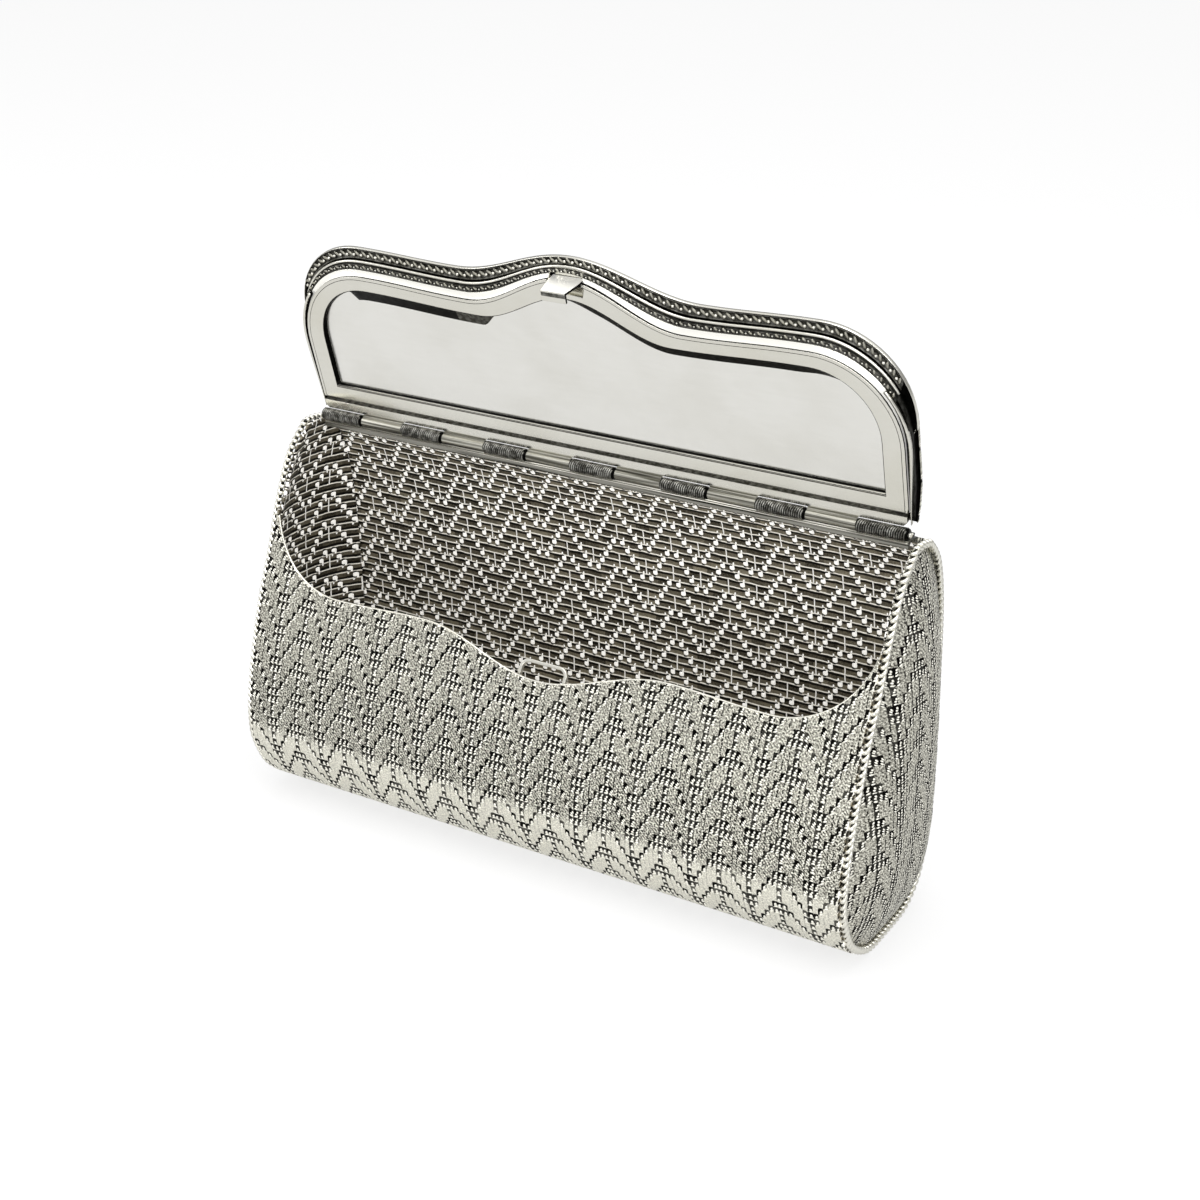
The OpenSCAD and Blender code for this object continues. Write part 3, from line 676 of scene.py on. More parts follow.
def polished(name, level=0.93, rough=0.16, marks=0.06, warm=0.03):
    """silver buffed bright, with faint wipe marks and a thin grey bloom"""
    finish = Finish(name, Metallic=1.0)
    place = finish.place()
    cloud = finish.noise(place, 45.0, 3.0)
    streaked = finish.node("ShaderNodeMapping", None, {0: place, 3: (160.0, 900.0, 900.0)})
    wipes = finish.noise(streaked, 1.0, 3.0)
    bloom = cloud.between(0.35, 0.75)
    shade = 1.0 - bloom * 0.35 - wipes * 0.25
    metal = finish.tint(shade, grey(level * 0.82, warm * 2), grey(level, warm))
    finish.wear(Base_Color=metal, Roughness=wipes * marks + bloom * marks * 0.6 + rough)
    finish.relief(wipes * 0.6 + cloud * 0.4, 0.000002)
    return finish.material


def tarnish_and_shade(name, dark, bright, size=700.0):
    """silver that no cloth reaches, with patches of tarnish; made very dark it stands for painted shade in
    gaps and hollows
    """
    finish = Finish(name, Metallic=1.0)
    place = finish.place()
    patch = finish.noise(place, size, 3.0, 0.6)
    fine = finish.noise(place, size * 4, 2.0)
    shade = patch.between(0.35, 0.7) * 0.8 + fine * 0.2
    metal = finish.tint(shade, grey(dark, 0.12), grey(bright, 0.04))
    finish.wear(Base_Color=metal, Roughness=0.55 - patch * 0.25)
    finish.relief(patch * 0.7 + fine * 0.3, 0.00008)
    return finish.material


def wire_piece(name, points, radius, closed=False, sides=2):
    """a round wire along points in mm from the hinge"""
    curve = bpy.data.curves.new(name, "CURVE")
    curve.dimensions = "3D"
    curve.bevel_depth = radius * MM
    curve.bevel_resolution = sides
    curve.use_fill_caps = True
    bends = curve.splines.new("POLY")
    bends.use_cyclic_u = closed
    bends.points.add(len(points) - 1)
    for bend, point in zip(bends.points, points):
        bend.co = (*(HINGE + point * MM), 1)
        bend.radius = 1
    maker = bpy.data.objects.new(name, curve)
    bpy.context.scene.collection.objects.link(maker)
    depsgraph = bpy.context.evaluated_depsgraph_get()
    bm = bmesh.new()
    bm.from_mesh(maker.evaluated_get(depsgraph).to_mesh())
    bpy.data.objects.remove(maker)
    bpy.data.curves.remove(curve)
    bmesh.ops.remove_doubles(bm, verts=bm.verts, dist=0.002 * MM)
    return new_piece(name, bm)


def wound_wire(name, path, place, turn_length, wind, radius, steps_a_turn, lean=0.0, closed=False):
    """a wire wound round a path; place makes a point of a length and steps sideways and outward"""
    turns = round(path.length / turn_length)
    points = []
    for k in range(turns * steps_a_turn):
        turn = 2 * math.pi * k / steps_a_turn
        s = path.length * k / (turns * steps_a_turn) + lean * math.sin(turn)
        points.append(place(s, wind * math.cos(turn), wind * math.sin(turn)))
    return wire_piece(name, points, radius, closed, 1)


bright_wire = polished("bright wire", 0.9, 0.24, 0.1, 0.04)
dark_shade_and_tarnish = tarnish_and_shade("dark shade and tarnish", 0.008, 0.05)
seam_path = Path(inset_line(whole_line, SEAM_WIND + SEAM_WIRE + 0.1), closed=True)
for side, node, name in ((-1, "left_seam_cord", "overcast_left"), (1, "right_seam_cord", "overcast_right")):
    def on_seam(s, sideways, outward):
        s %= seam_path.length
        side_point = seam_path.at(s) + seam_path.outward(s) * outward
        return Vector((side * (SEAM_ACROSS + sideways), side_point.x, side_point.y))

    cord = wound_wire(name, seam_path, on_seam, SEAM_TURN, SEAM_WIND, SEAM_WIRE, SEAM_STEPS, SEAM_LEAN, True)
    dress(cord, "purse_body", "seam_metal", [node], bright_wire)
    core_points = [on_seam(seam_path.length * k / SEAM_CORE_STEPS, 0, 0) for k in range(SEAM_CORE_STEPS)]
    core = wire_piece(name + "_core", core_points, SEAM_CORE, True, 1)
    dress(core, "purse_body", "seam_metal", [node], dark_shade_and_tarnish)


# Behind the hinge the top of the sheet is laced to the rail with the same wire, over a core painted dark as
# the shade between the turns.
LACE_HALF = 85
LACE_TURN = 1.3
LACE_WIND = 0.55
LACE_WIRE = 0.3
LACE_CORE = 0.5
box_low, box_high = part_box("back_seam_cord")
lace_side = ((box_low + box_high) / 2 - HINGE) / MM


def on_lace(s, up, back):
    return Vector((s - LACE_HALF, lace_side.y + back, lace_side.z + up))


lace_path = Path([Vector((0, 0)), Vector((2 * LACE_HALF, 0))])
lacing = wound_wire("back_lacing", lace_path, on_lace, LACE_TURN, LACE_WIND, LACE_WIRE, SEAM_STEPS)
dress(lacing, "purse_body", "seam_metal", ["back_seam_cord"], bright_wire)
lace_core = wire_piece("back_lacing_core", [on_lace(0, 0, 0), on_lace(2 * LACE_HALF, 0, 0)], LACE_CORE)
dress(lace_core, "purse_body", "seam_metal", ["back_seam_cord"], dark_shade_and_tarnish)


# A drawn silver wire is soldered along the edge of the mouth, and follows the soft front where it sags.
MOUTH_WIRE = 0.36
MOUTH_WIRE_HALF = BODY_HALF - 0.4
mouth_points = []
for x in steps(-MOUTH_WIRE_HALF, MOUTH_WIRE_HALF, COLUMN / 2):
    point, out = on_sheet(x, 0)[:2]
    mouth_points.append(point - out * SHEET / 2)
mouth_wire = wire_piece("mouth_edge", mouth_points, MOUTH_WIRE)
dress(mouth_wire, "purse_body", "wire_metal", ["mouth_edge_wire"], bright_wire)


# The hinge, the catch and its spring are filed from silver plate and rod, with every edge broken by a file.
# They are the same shapes as in the frame, with rounded edges. The faces along the top of the hinge bar are
# painted brown, as painted shade.
SHARP = math.radians(32)
FACES_UP = 0.8


def drawn(name, dark, bright):
    """metal drawn along the hinge, with fine dark lines"""
    finish = Finish(name, Metallic=1.0)
    stretched = finish.node("ShaderNodeMapping", None, {0: finish.place(), 3: (30.0, 1700.0, 1700.0)})
    line = finish.noise(stretched, 1.0, 2.0, 0.6)
    metal = finish.tint(line.between(0.36, 0.6), grey(dark, 0.1), grey(bright, 0.06))
    finish.wear(Base_Color=metal, Roughness=0.46 - line * 0.2)
    finish.relief(line, 0.00004)
    return finish.material


def filed(node, slot, body, width, material):
    """the shape of a CAD node with its sharp edges rounded"""
    bm = bmesh.new()
    bm.from_mesh(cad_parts[node].data)
    bmesh.ops.remove_doubles(bm, verts=bm.verts, dist=0.002 * MM)
    bmesh.ops.dissolve_limit(bm, angle_limit=math.radians(1), verts=bm.verts, edges=bm.edges)
    edges = [edge for edge in bm.edges if len(edge.link_faces) == 2 and edge.calc_face_angle() > SHARP]
    bmesh.ops.bevel(bm, geom=edges, offset=width * MM, offset_type="OFFSET", segments=2, profile=0.5,
                    affect="EDGES", material=-1, clamp_overlap=True)
    piece = new_piece(node + "_filed", bm)
    piece.modifiers.new("flat faces", "WEIGHTED_NORMAL")
    return dress(piece, body, slot, [node], material)


silver = polished("polished silver")
frame_silver = polished("frame silver", 0.8, 0.16, 0.05, 0.04)
brown_shade_and_tarnish = tarnish_and_shade("brown shade and tarnish", 0.04, 0.26)
filed("hinge_rail", "rail_metal", "purse_body", 0.12, drawn("rail silver", 0.02, 0.3))
filed("lid_knuckles", "knuckle_metal", "lid", 0.1, drawn("hinge silver", 0.1, 0.6))
filed("hinge_pin", "pin_metal", "purse_body", 0.08, bright_wire)
hinge_bar = filed("lid_hinge_bar", "bar_metal", "lid", 0.14, frame_silver)
filed("catch_button", "button_metal", "catch", 0.2, silver)
filed("catch_spring", "spring_metal", "lid", 0.05, bright_wire)
filed("spring_posts", "spring_metal", "lid", 0.08, bright_wire)
filed("catch_loop", "loop_metal", "purse_body", 0.2, bright_wire)
filed("loop_plate", "woven_metal", "purse_body", 0.1, bright_wire)
# painted shade: faces along the top of the hinge bar get the brown shade material
hinge_bar.data.materials.append(brown_shade_and_tarnish)
for face in hinge_bar.data.polygons:
    if face.normal.z > FACES_UP:
        face.material_index = 1


# The body's knuckles are short tubes round the pin, painted black as the shade in the gap, wound side by side
# with fine wire that is both tarnished and darkened as painted shade.
HINGE_HALF = (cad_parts["hinge_rail"].dimensions.x / MM) / 2
KNUCKLES = 13
KNUCKLE_GAP = 0.15
KNUCKLE_CORE = 1.5
KNUCKLE_WIND = 1.57
KNUCKLE_WIRE = 0.19
KNUCKLE_TURN = 0.6
KNUCKLE_LEAN = 0.3
KNUCKLE_STEPS = 10
lace_silver = tarnish_and_shade("hinge lacing", 0.03, 0.5)
shade_black = tarnish_and_shade("painted shade black", 0.002, 0.01)
knuckle_pitch = 2 * HINGE_HALF / KNUCKLES
for number in range(0, KNUCKLES, 2):
    knuckle_start = -HINGE_HALF + number * knuckle_pitch + KNUCKLE_GAP
    knuckle_end = knuckle_start + knuckle_pitch - 2 * KNUCKLE_GAP
    core_ends = [Vector((x, 0, 0)) for x in (knuckle_start, knuckle_end)]
    core = wire_piece("knuckle_core", core_ends, KNUCKLE_CORE, False, 4)
    dress(core, "purse_body", "knuckle_metal", ["body_knuckles"], shade_black)

    def on_knuckle(s, up, back):
        return Vector((knuckle_start + KNUCKLE_WIRE + s, back, up))

    knuckle_path = Path([Vector((0, 0)), Vector((knuckle_end - knuckle_start - 2 * KNUCKLE_WIRE, 0))])
    wound = wound_wire("knuckle_winding", knuckle_path, on_knuckle, KNUCKLE_TURN, KNUCKLE_WIND, KNUCKLE_WIRE,
                       KNUCKLE_STEPS, KNUCKLE_LEAN)
    dress(wound, "purse_body", "knuckle_metal", ["body_knuckles"], lace_silver)


# Two bright wires are soldered along the top of the rail, just under the knuckles.
# Each has its place behind the hinge's middle, its height and its radius.
RAIL_WIRES = ((-0.2, -1.6, 0.22), (-0.1, -2.15, 0.16))
RAIL_WIRE_HALF = HINGE_HALF - 0.3
for number, (back, height, radius) in enumerate(RAIL_WIRES):
    ends = [Vector((side * RAIL_WIRE_HALF, back, height)) for side in (-1, 1)]
    rail_wire = wire_piece("rail_wire_%d" % number, ends, radius)
    dress(rail_wire, "purse_body", "rail_metal", [], bright_wire)


# The lid is a flat polished frame round a sunk panel, with a bevel outside it that glows faintly as a painted
# highlight, and two engraved lines painted black as shade.
# The step down to the panel is painted black, a painted reflection of a dark room, and shows as a dark band
# of changing width.
# Levels are in mm behind the hinge's plane, and a block is its middle and its size.
LID_UP = Vector((0, -math.sin(LEAN), math.cos(LEAN)))
LID_BACK = Vector((0, math.cos(LEAN), math.sin(LEAN)))
FRAME = (84.5, 44.1, 42.8, 53.0, 22.0, 30.0)
RIM_GAINS = (1.7, 5.7, 6.0, 3.6, 0.0, 4.0)
RECESS = (79.0, 40.1, 38.8, 47.6, 17.0, 27.0)
FRAME_LOW = 5.0
RECESS_LOW = 9.2
FRAME_FRONT = 1.3
FRAME_EDGE = 1.4
FRAME_BACK = 3.1
PANEL_FRONT = 2.5
PANEL_SEAT = 1.1
SIDE_STEPS, CORNER_STEPS, TOP_STEPS = 12, 16, 160
COVE_SIDE = 0.45
COVE_LOW = 0.3
COVE_DEPTH = 2.48
COVE_BEND = 0.7
RECESS_BREAK = 0.13
COVE_NARROW = 0.35
COVE_STRETCHES = ((3.2, -67, -65.8, -27, -22), (2.3, -7, 8, 58, 79))
COVE_FADES = (-34, -21)
COVE_TOP = 25
LINE_IN = 0.17
LINE_LOW = 0.42
LINE_HALF = 0.1
LINE_DEPTH = 1.5
ENGRAVED_IN = 0.85
ENGRAVED_LOW = 0.2
ENGRAVED_HALF = 0.07
ENGRAVED_DEPTH = 1.42
BROKEN_EDGE = 0.08
SIDE_DEPTH = 1.85
SIDE_DEEPER = 0.4
SIDE_PEAK = 22
NOTCH = ((0, 55.0, 2.0), (9.4, 6, 7.1))


def in_lid(u, v, w):
    """a point of the open lid, in mm from the hinge: across, up the lid and behind the hinge's plane"""
    return Vector((u, 0, 0)) + LID_UP * v + LID_BACK * w


def lid_edge(sizes, low):
    """points round an outline of the lid, from its foot on the right to its foot on the left"""
    half, shoulder, valley, peak, corner, foot = sizes
    line = [(half, low + (shoulder - corner - low) * k / SIDE_STEPS) for k in range(SIDE_STEPS)]
    for k in range(CORNER_STEPS):
        turn = math.pi / 2 * k / CORNER_STEPS
        line.append((half - corner + corner * math.cos(turn), shoulder - corner + corner * math.sin(turn)))
    mirrored = [(-u, v) for u, v in reversed(line)]
    for k in range(TOP_STEPS + 1):
        u = (half - corner) * (1 - 2 * k / TOP_STEPS)
        line.append((u, edge_height(sizes, u)))
    return line + mirrored


def grown(share):
    """the outline at a share of the way from the frame's edge to the rim"""
    return tuple(size + share * gain for size, gain in zip(FRAME, RIM_GAINS))


def drawn_in(sizes, by):
    half, shoulder, valley, peak, corner, foot = sizes
    return (half - by, shoulder - by, valley - by, peak - by, corner - by, foot)


def lid_lines(rings, first=0):
    """lines of points round the lid, one for each (outline, foot, level); first is how many are left out at
    both ends"""
    lines = []
    for sizes, low, level in rings:
        edge = lid_edge(sizes, low)
        edge = edge[first:len(edge) - first]
        lines.append([in_lid(u, v, level(u, v) if callable(level) else level) for u, v in edge])
    return lines


def bend_grid(bm, lines):
    """a grid of faces whose lines of corners are the given lines of points, in mm from the hinge"""
    rows, columns = len(lines) - 1, len(lines[0]) - 1
    grid = bmesh.ops.create_grid(bm, x_segments=columns, y_segments=rows, size=0.5)["verts"]
    for vert in grid:
        line = lines[round((vert.co.y + 0.5) * rows)]
        vert.co = HINGE + line[round((vert.co.x + 0.5) * columns)] * MM


def closed_strip(name, lines, paint=lambda step, middle: 0):
    """a strip whose section closes on itself, through lines of points; paint says which material a face has,
    by the step between two lines that it lies in and by its middle, in mm from the hinge"""
    bm = bmesh.new()
    bend_grid(bm, lines + lines[:1])
    bm.faces.ensure_lookup_table()
    for face in bm.faces:
        middle = (face.calc_center_median() - HINGE) / MM
        face.material_index = paint(face.index // (len(lines[0]) - 1), middle)
    bmesh.ops.remove_doubles(bm, verts=bm.verts, dist=0.004 * MM)
    bmesh.ops.holes_fill(bm, edges=[edge for edge in bm.edges if edge.is_boundary], sides=0)
    return new_piece(name, bm)


def lid_block(middle, size):
    """a block that stands square to the open lid"""
    bm = bmesh.new()
    bmesh.ops.create_cube(bm, size=MM)
    place = Matrix.Translation(HINGE + in_lid(*middle) * MM) @ Matrix.Rotation(LEAN, 4, "X")
    bmesh.ops.transform(bm, verts=bm.verts, matrix=place @ Matrix.Diagonal((*size, 1)))
    return bm


def cut_out(piece, middle, size):
    """cuts a block out of a piece"""
    block = new_piece("cutter", lid_block(middle, size))
    cut = piece.modifiers.new("cut", "BOOLEAN")
    cut.object = block
    cut.solver = "EXACT"
    depsgraph = bpy.context.evaluated_depsgraph_get()
    cut_mesh = bpy.data.meshes.new_from_object(piece.evaluated_get(depsgraph))
    piece.modifiers.clear()
    piece.data = cut_mesh
    bpy.data.objects.remove(block)


def cove_fall(u):
    """how far the step down to the panel reaches in from the edge of the recess"""
    falls = [COVE_NARROW]
    for wide, a, b, c, d in COVE_STRETCHES:
        falls.append(wide * min(ease((u - a) / (b - a)), 1 - ease((u - c) / (d - c))))
    return max(falls)


def cove_foot(level):
    """the line where the step meets the panel"""
    half, shoulder, valley, peak, corner, foot = RECESS
    sizes = (half - COVE_SIDE, shoulder, valley, peak, corner - COVE_SIDE, foot)
    even = lid_edge(sizes, RECESS_LOW + COVE_LOW)
    return [in_lid(u, v - cove_fall(u) * ease((v - shoulder + corner) / corner), level) for u, v in even]


def frame_side(u, v):
    """the level of the foot of the frame's outer side, deepest near the peak"""
    return SIDE_DEPTH + SIDE_DEEPER * math.exp(-(u / SIDE_PEAK) ** 2)


recess_top = lid_lines([(RECESS, RECESS_LOW, FRAME_EDGE)])[0]
cove_middle = [foot.lerp(top, COVE_BEND) for foot, top in zip(cove_foot(COVE_DEPTH), recess_top)]
rings = [(drawn_in(RECESS, -RECESS_BREAK), RECESS_LOW - RECESS_BREAK, FRAME_FRONT)]
for step, level in ((-LINE_HALF, FRAME_FRONT), (0, LINE_DEPTH), (LINE_HALF, FRAME_FRONT)):
    rings.append((drawn_in(RECESS, -LINE_IN - step / 3), RECESS_LOW - LINE_LOW - step, level))
for step, level in ((ENGRAVED_HALF, FRAME_FRONT), (0, ENGRAVED_DEPTH), (-ENGRAVED_HALF, FRAME_FRONT)):
    rings.append((drawn_in(FRAME, ENGRAVED_IN + step), FRAME_LOW + ENGRAVED_LOW + step, level))
seat, seat_low = drawn_in(RECESS, -PANEL_SEAT), RECESS_LOW - PANEL_SEAT
rings += [(drawn_in(FRAME, BROKEN_EDGE), FRAME_LOW + BROKEN_EDGE, FRAME_FRONT),
          (FRAME, FRAME_LOW, FRAME_EDGE), (FRAME, FRAME_LOW, frame_side),
          (grown(0.24), FRAME_LOW, 2.5), (grown(0.25), FRAME_LOW, 2.6), (grown(0.25), FRAME_LOW, FRAME_BACK),
          (seat, seat_low, FRAME_BACK), (seat, seat_low, PANEL_FRONT)]
frame_lines = [cove_foot(COVE_DEPTH), cove_middle, recess_top, *lid_lines(rings), cove_foot(PANEL_FRONT)]
DARK_STEPS = (0, 1, 2, 4, 5, 7, 8, 11)
BEVEL_STEP = 12


def frame_paint(step, middle):
    """black in the step down, a painted reflection of a dark room, and brown where it fades; black in the
    grooves and on the frame's outer side as painted shade; and a glowing painted highlight on the bevel
    """
    if step == 1 and middle.z < RECESS_LOW + 0.5:
        return 0
    if step < 2 and middle.z > COVE_TOP and COVE_FADES[0] < middle.x < COVE_FADES[1]:
        return 3
    return 1 if step in DARK_STEPS else 2 if step == BEVEL_STEP else 0


lid_frame = closed_strip("polished_frame", [line + line[:1] for line in frame_lines], frame_paint)
cut_out(lid_frame, *NOTCH)
lid_frame.modifiers.new("flat faces", "WEIGHTED_NORMAL")
# The bevel glows faintly through Emission: a painted highlight, though it is no lamp.
bevel_highlight_silver = polished("bevel highlight silver", 0.95, 0.34, 0.05, 0.03)
bevel_shader = bevel_highlight_silver.node_tree.nodes["Principled BSDF"]
bevel_shader.inputs["Emission Color"].default_value = grey(0.35, 0.02)
bevel_shader.inputs["Emission Strength"].default_value = 1.0
dress(lid_frame, "lid", "frame_metal", ["lid_frame"], frame_silver, shade_black, bevel_highlight_silver, brown_shade_and_tarnish)


# Down each side the frame has a narrow bright flange outside it, with a gap between them painted black as
# shade.
# It narrows towards the hinge. Each line round it has a step out from the frame and a level.
COVER_LOW = 1.8
FLANGE_LINES = ((0.1, 2.4), (0.1, 2.1), (0.8, 2.1), (0.85, 1.5), (1.4, 1.4), (1.5, 1.5), (1.5, 2.4))
FLANGE_GAP = 0.15
FLANGE_TAPER = 0.75
FLANGE_TAPER_TO = 24
FLANGE_DARK = 3


def flange(side):
    lines = []
    for out, level in FLANGE_LINES:
        half, shoulder, valley, peak, corner, foot = FRAME
        edge = lid_edge((half + out, shoulder + out, valley, peak, corner + out, foot), COVER_LOW)
        line = []
        for u, v in edge[:SIDE_STEPS + CORNER_STEPS // 2]:
            narrow = (1 - ease(v / FLANGE_TAPER_TO)) * max(out - FLANGE_GAP, 0) * FLANGE_TAPER
            line.append(in_lid(side * (u - narrow), v, level))
        lines.append(line)
    return closed_strip("side_flange", lines, lambda step, middle: int(step < FLANGE_DARK))


for side in (-1, 1):
    dress(flange(side), "lid", "rim_metal", ["lid_rim"], frame_silver, shade_black)


# The hook is bent from bright strip. Its top has the glowing bevel silver as a painted highlight, its right
# side is painted black as shade, and a band across its front above the lip is painted brown as shade. Behind
# it a small bright plate closes the notch in the frame.
HOOK_TOP = 52.5
HOOK_STEP = (HOOK_TOP - 1.4, HOOK_TOP - 0.35)
SQUARE_ON = 0.7
NOTCH_PLATE = ((0, 51.9, 3.93), (9.6, 0.16, 4.0))
hook = filed("catch_hook", "hook_metal", "catch", 0.1, frame_silver)
bm = bmesh.new()
bm.from_mesh(hook.data)
for height in HOOK_STEP:
    bmesh.ops.bisect_plane(bm, geom=bm.verts[:] + bm.edges[:] + bm.faces[:], dist=0.001 * MM,
                           plane_co=HINGE + in_lid(0, height, 0) * MM, plane_no=LID_UP)
# painted light: faces looking up the lid get the glowing bevel silver, faces looking right are painted black
# as shade, and a band across the front is painted brown as shade
for face in bm.faces:
    height = (face.calc_center_median() - HINGE).dot(LID_UP) / MM
    if face.normal.dot(LID_UP) > SQUARE_ON:
        face.material_index = 1
    elif face.normal.x > SQUARE_ON:
        face.material_index = 2
    elif face.normal.dot(LID_BACK) < -SQUARE_ON and HOOK_STEP[0] < height < HOOK_STEP[1]:
        face.material_index = 3
bm.to_mesh(hook.data)
bm.free()
for material in (bevel_highlight_silver, shade_black, brown_shade_and_tarnish):
    hook.data.materials.append(material)

notch_back = lid_block(*NOTCH_PLATE)
bmesh.ops.bevel(notch_back, geom=notch_back.edges[:], offset=0.05 * MM, offset_type="OFFSET", segments=2,
                profile=0.5, affect="EDGES", material=-1)
dress(new_piece("notch_back", notch_back), "lid", "wall_metal", ["lid_wall"], silver)


# The panel is a thin polished sheet held behind the frame, very slightly uneven, so it mirrors softly.
PANEL = drawn_in(RECESS, -1.0)
PANEL_LOW = RECESS_LOW - 1.0
PANEL_COLUMNS = 160
PANEL_ROWS = 24
bm = bmesh.new()
for level in (PANEL_FRONT, FRAME_BACK):
    lines = []
    for row in range(PANEL_ROWS + 1):
        line = []
        for column in range(PANEL_COLUMNS + 1):
            u = PANEL[0] * math.sin(math.pi * (column / PANEL_COLUMNS - 0.5))
            line.append(in_lid(u, PANEL_LOW + (outline_top(PANEL, u) - PANEL_LOW) * row / PANEL_ROWS, level))
        lines.append(line)
    bend_grid(bm, lines)
bmesh.ops.bridge_loops(bm, edges=[edge for edge in bm.edges if edge.is_boundary])
panel_silver = polished("panel silver", 0.9, 0.2, 0.03, 0.022)
dress(new_piece("polished_panel", bm), "lid", "panel_metal", ["lid_mirror_panel"], panel_silver)


# Above the bevel two rows of small beads follow the top of the lid, with a pair of plain wires between them.
# Each bead is a leaf set at a slant in a dark channel, with a bright grain beside it.
ROWS_LOW = 35.0
ROW_PITCH = 2.25
CHANNEL_WALL = 0.012
CHANNEL_DEPTH = 0.15
GRAIN_RISE = 0.05
row_silver = polished("row silver", 0.42, 0.32, 0.14, 0.06)
row_bed = tarnish_and_shade("row bed", 0.02, 0.16)
first_in_row = next(k for k, (u, v) in enumerate(lid_edge(grown(0.5), FRAME_LOW)) if v >= ROWS_LOW)


def row_path(share):
    return Path([Vector(p) for p in lid_edge(grown(share), FRAME_LOW)[first_in_row:-first_in_row]])


def channel(name, node, inner, outer, near, back):
    """the dark bed of a row, with low walls"""
    bed = back - CHANNEL_DEPTH
    section = ((inner, back), (inner, near), (inner + CHANNEL_WALL, near), (inner + CHANNEL_WALL, bed),
               (outer - CHANNEL_WALL, bed), (outer - CHANNEL_WALL, near), (outer, near), (outer, back))
    lines = lid_lines([(grown(share), FRAME_LOW, level) for share, level in section], first_in_row)
    dress(closed_strip(name, lines), "lid", "row_metal", [node], row_bed)


def beads(name, node, share, level, leaf, slant, grain, grain_share):
    """leaves and grains along a row"""
    path, grain_path = row_path(share), row_path(grain_share)
    bm = bmesh.new()
    count = round(path.length / ROW_PITCH)
    for k in range(count):
        s = path.length * (k + 0.5) / count
        at = path.at(s)
        way = (path.at(s + 0.4) - path.at(s - 0.4)).normalized()
        along = Vector((way.x, 0, 0)) + LID_UP * way.y
        up = LID_BACK.cross(along)
        turned = Matrix((along, up, LID_BACK)).transposed().to_4x4() @ Matrix.Rotation(slant, 4, "Z")
        place = Matrix.Translation(HINGE + in_lid(at.x, at.y, level) * MM) @ turned
        shape = Matrix.Diagonal((*(size * MM for size in leaf), 1))
        bmesh.ops.create_icosphere(bm, subdivisions=2, radius=1, matrix=place @ shape)
        at = grain_path.at(grain_path.length * (k + 1) / count)
        place = Matrix.Translation(HINGE + in_lid(at.x, at.y, level - GRAIN_RISE) * MM)
        ball = bmesh.ops.create_icosphere(bm, subdivisions=2, radius=grain * MM, matrix=place)["verts"]
        for face in {face for vert in ball for face in vert.link_faces}:
            face.material_index = 1
    dress(new_piece(name, bm), "lid", "row_metal", [node], row_silver, bright_wire)


channel("inner_channel", "inner_bead_row", inner=0.27, outer=0.46, near=2.6, back=3.1)
beads("inner_beads", "inner_bead_row", share=0.4, level=2.74, leaf=(0.6, 0.3, 0.3), slant=math.radians(38),
      grain=0.22, grain_share=0.36)
channel("outer_channel", "outer_bead_row", inner=0.7, outer=1.04, near=4.5, back=4.95)
beads("outer_beads", "outer_bead_row", share=0.87, level=4.66, leaf=(1.0, 0.36, 0.32), slant=math.radians(50),
      grain=0.42, grain_share=0.8)

ROW_WIRES = (("inner_wire", "inner_rim_wire", 0.53, 3.8, 0.4, bright_wire),
             ("outer_wire", "outer_rim_wire", 0.65, 4.6, 0.24, brown_shade_and_tarnish))
for name, node, share, level, radius, material in ROW_WIRES:
    line = [in_lid(p.x, p.y, level) for p in row_path(share).points]
    dress(wire_piece(name, line, radius), "lid", "wire_metal", [node], material)


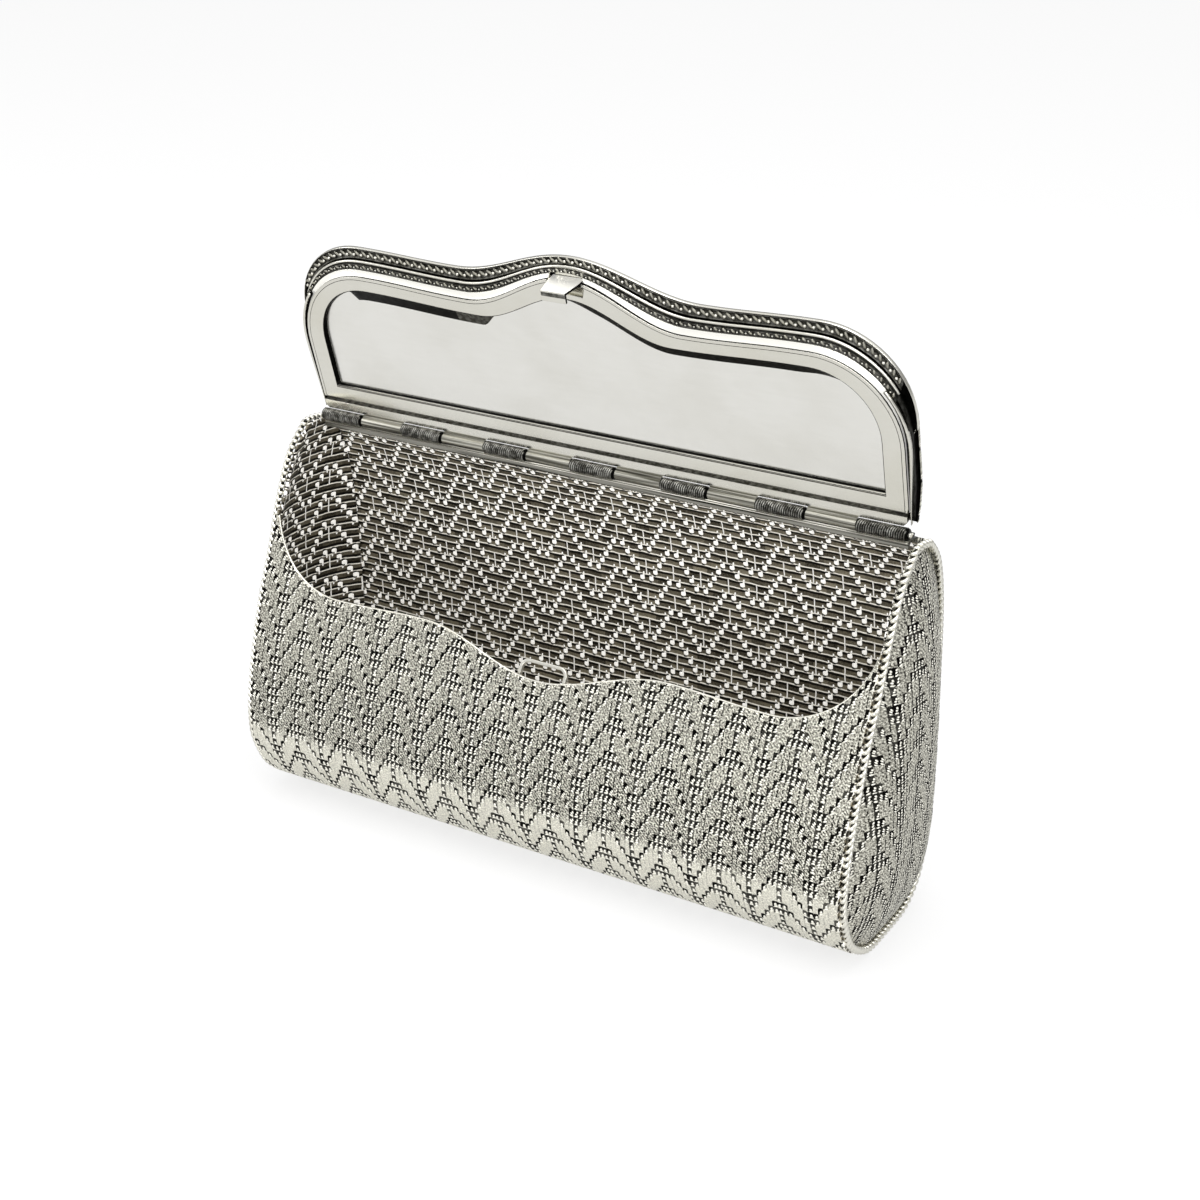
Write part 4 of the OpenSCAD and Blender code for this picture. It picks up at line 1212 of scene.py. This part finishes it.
# The rim is a flat strip that stands out all round the top, painted dark behind the rows as shade and
# polished on its edge.
# The wall joins the frame to the cover, with a slot for the hook, and is plain plate at the shoulders; it is
# painted dark as shade.
RIM_LOW = 26.0
WALL_FRONT = 3.2
WALL_THICK = (0.8, 0.8, 0.8, 0.8, 0.8, 0)
SLOT = ((0, 52.0, 3.4), (9.2, 1.6, 6.2))
RIM_SECTION = ((0.47, 5.9), (0.47, 5.0), (1.05, 5.0), (1.055, 4.8), (1.075, 4.8), (1.09, 4.95), (1.09, 5.75),
               (1.06, 5.9))
RIM_DARK = 1
rim_lines = lid_lines([(grown(share), RIM_LOW, level) for share, level in RIM_SECTION])
rim = closed_strip("polished_rim", rim_lines, lambda step, middle: int(step == RIM_DARK))
dress(rim, "lid", "rim_metal", ["lid_rim"], frame_silver, dark_shade_and_tarnish)

COVER_LEVELS = [(0, 4.1), (0.06, 5.7), (0.16, 7.25), (0.33, 7.3), (0.54, 7.25), (0.75, 7.02), (1, 6.8)]
COVER_HIGH = 56.6
COVER_THICK = 0.8


def cover_level(v):
    """level of the outside of the cover at a height in the lid"""
    share = (v - COVER_LOW) / (COVER_HIGH - COVER_LOW)
    for (low, from_level), (high, to_level) in zip(COVER_LEVELS, COVER_LEVELS[1:]):
        if share <= high:
            return from_level + (to_level - from_level) * max(share - low, 0) / (high - low)
    return COVER_LEVELS[-1][1]


def wall_back(u, v):
    return max(cover_level(v) - COVER_THICK - 0.1, WALL_FRONT + 0.05)


wall_outer = grown(0.45)
wall_inner = tuple(size - thick for size, thick in zip(wall_outer, WALL_THICK))
wall_rings = [(wall_outer, COVER_LOW, WALL_FRONT), (wall_outer, COVER_LOW, wall_back),
              (wall_inner, COVER_LOW, wall_back), (wall_inner, COVER_LOW, WALL_FRONT)]
side_wall = closed_strip("side_wall", lid_lines(wall_rings))
dress(side_wall, "lid", "wall_metal", ["lid_wall"], dark_shade_and_tarnish)
cut_out(side_wall, *SLOT)


# The outside of the lid is covered with the same woven strip, softly crowned and turned in at the rim.
COVER = grown(0.85)
COVER_FIRST_ROW = 28
TURN_IN = 0.9
TURN_DEPTH = 0.45


def on_cover(u, v):
    top = outline_top(COVER, u)
    v = min(v, top)
    edge = min(top - v, COVER[0] - abs(u))
    level = cover_level(v) - TURN_DEPTH * (1 - min(edge / TURN_IN, 1)) ** 2
    return in_lid(u, v, level), LID_BACK, u - PEAK_ACROSS + COLUMN / 2, v + COVER_FIRST_ROW * ROW


cover_grid = (steps(-COVER[0], COVER[0], COLUMN / 2), steps(COVER_LOW, COVER_HIGH, ROW / 3))
cover = woven_shell("woven_cover", *cover_grid, on_cover, outside_relief, lambda a, b: 0.0, COVER_THICK)
dress(cover, "lid", "cover_metal", ["lid_cover"], woven_outside, dark_shade_and_tarnish)
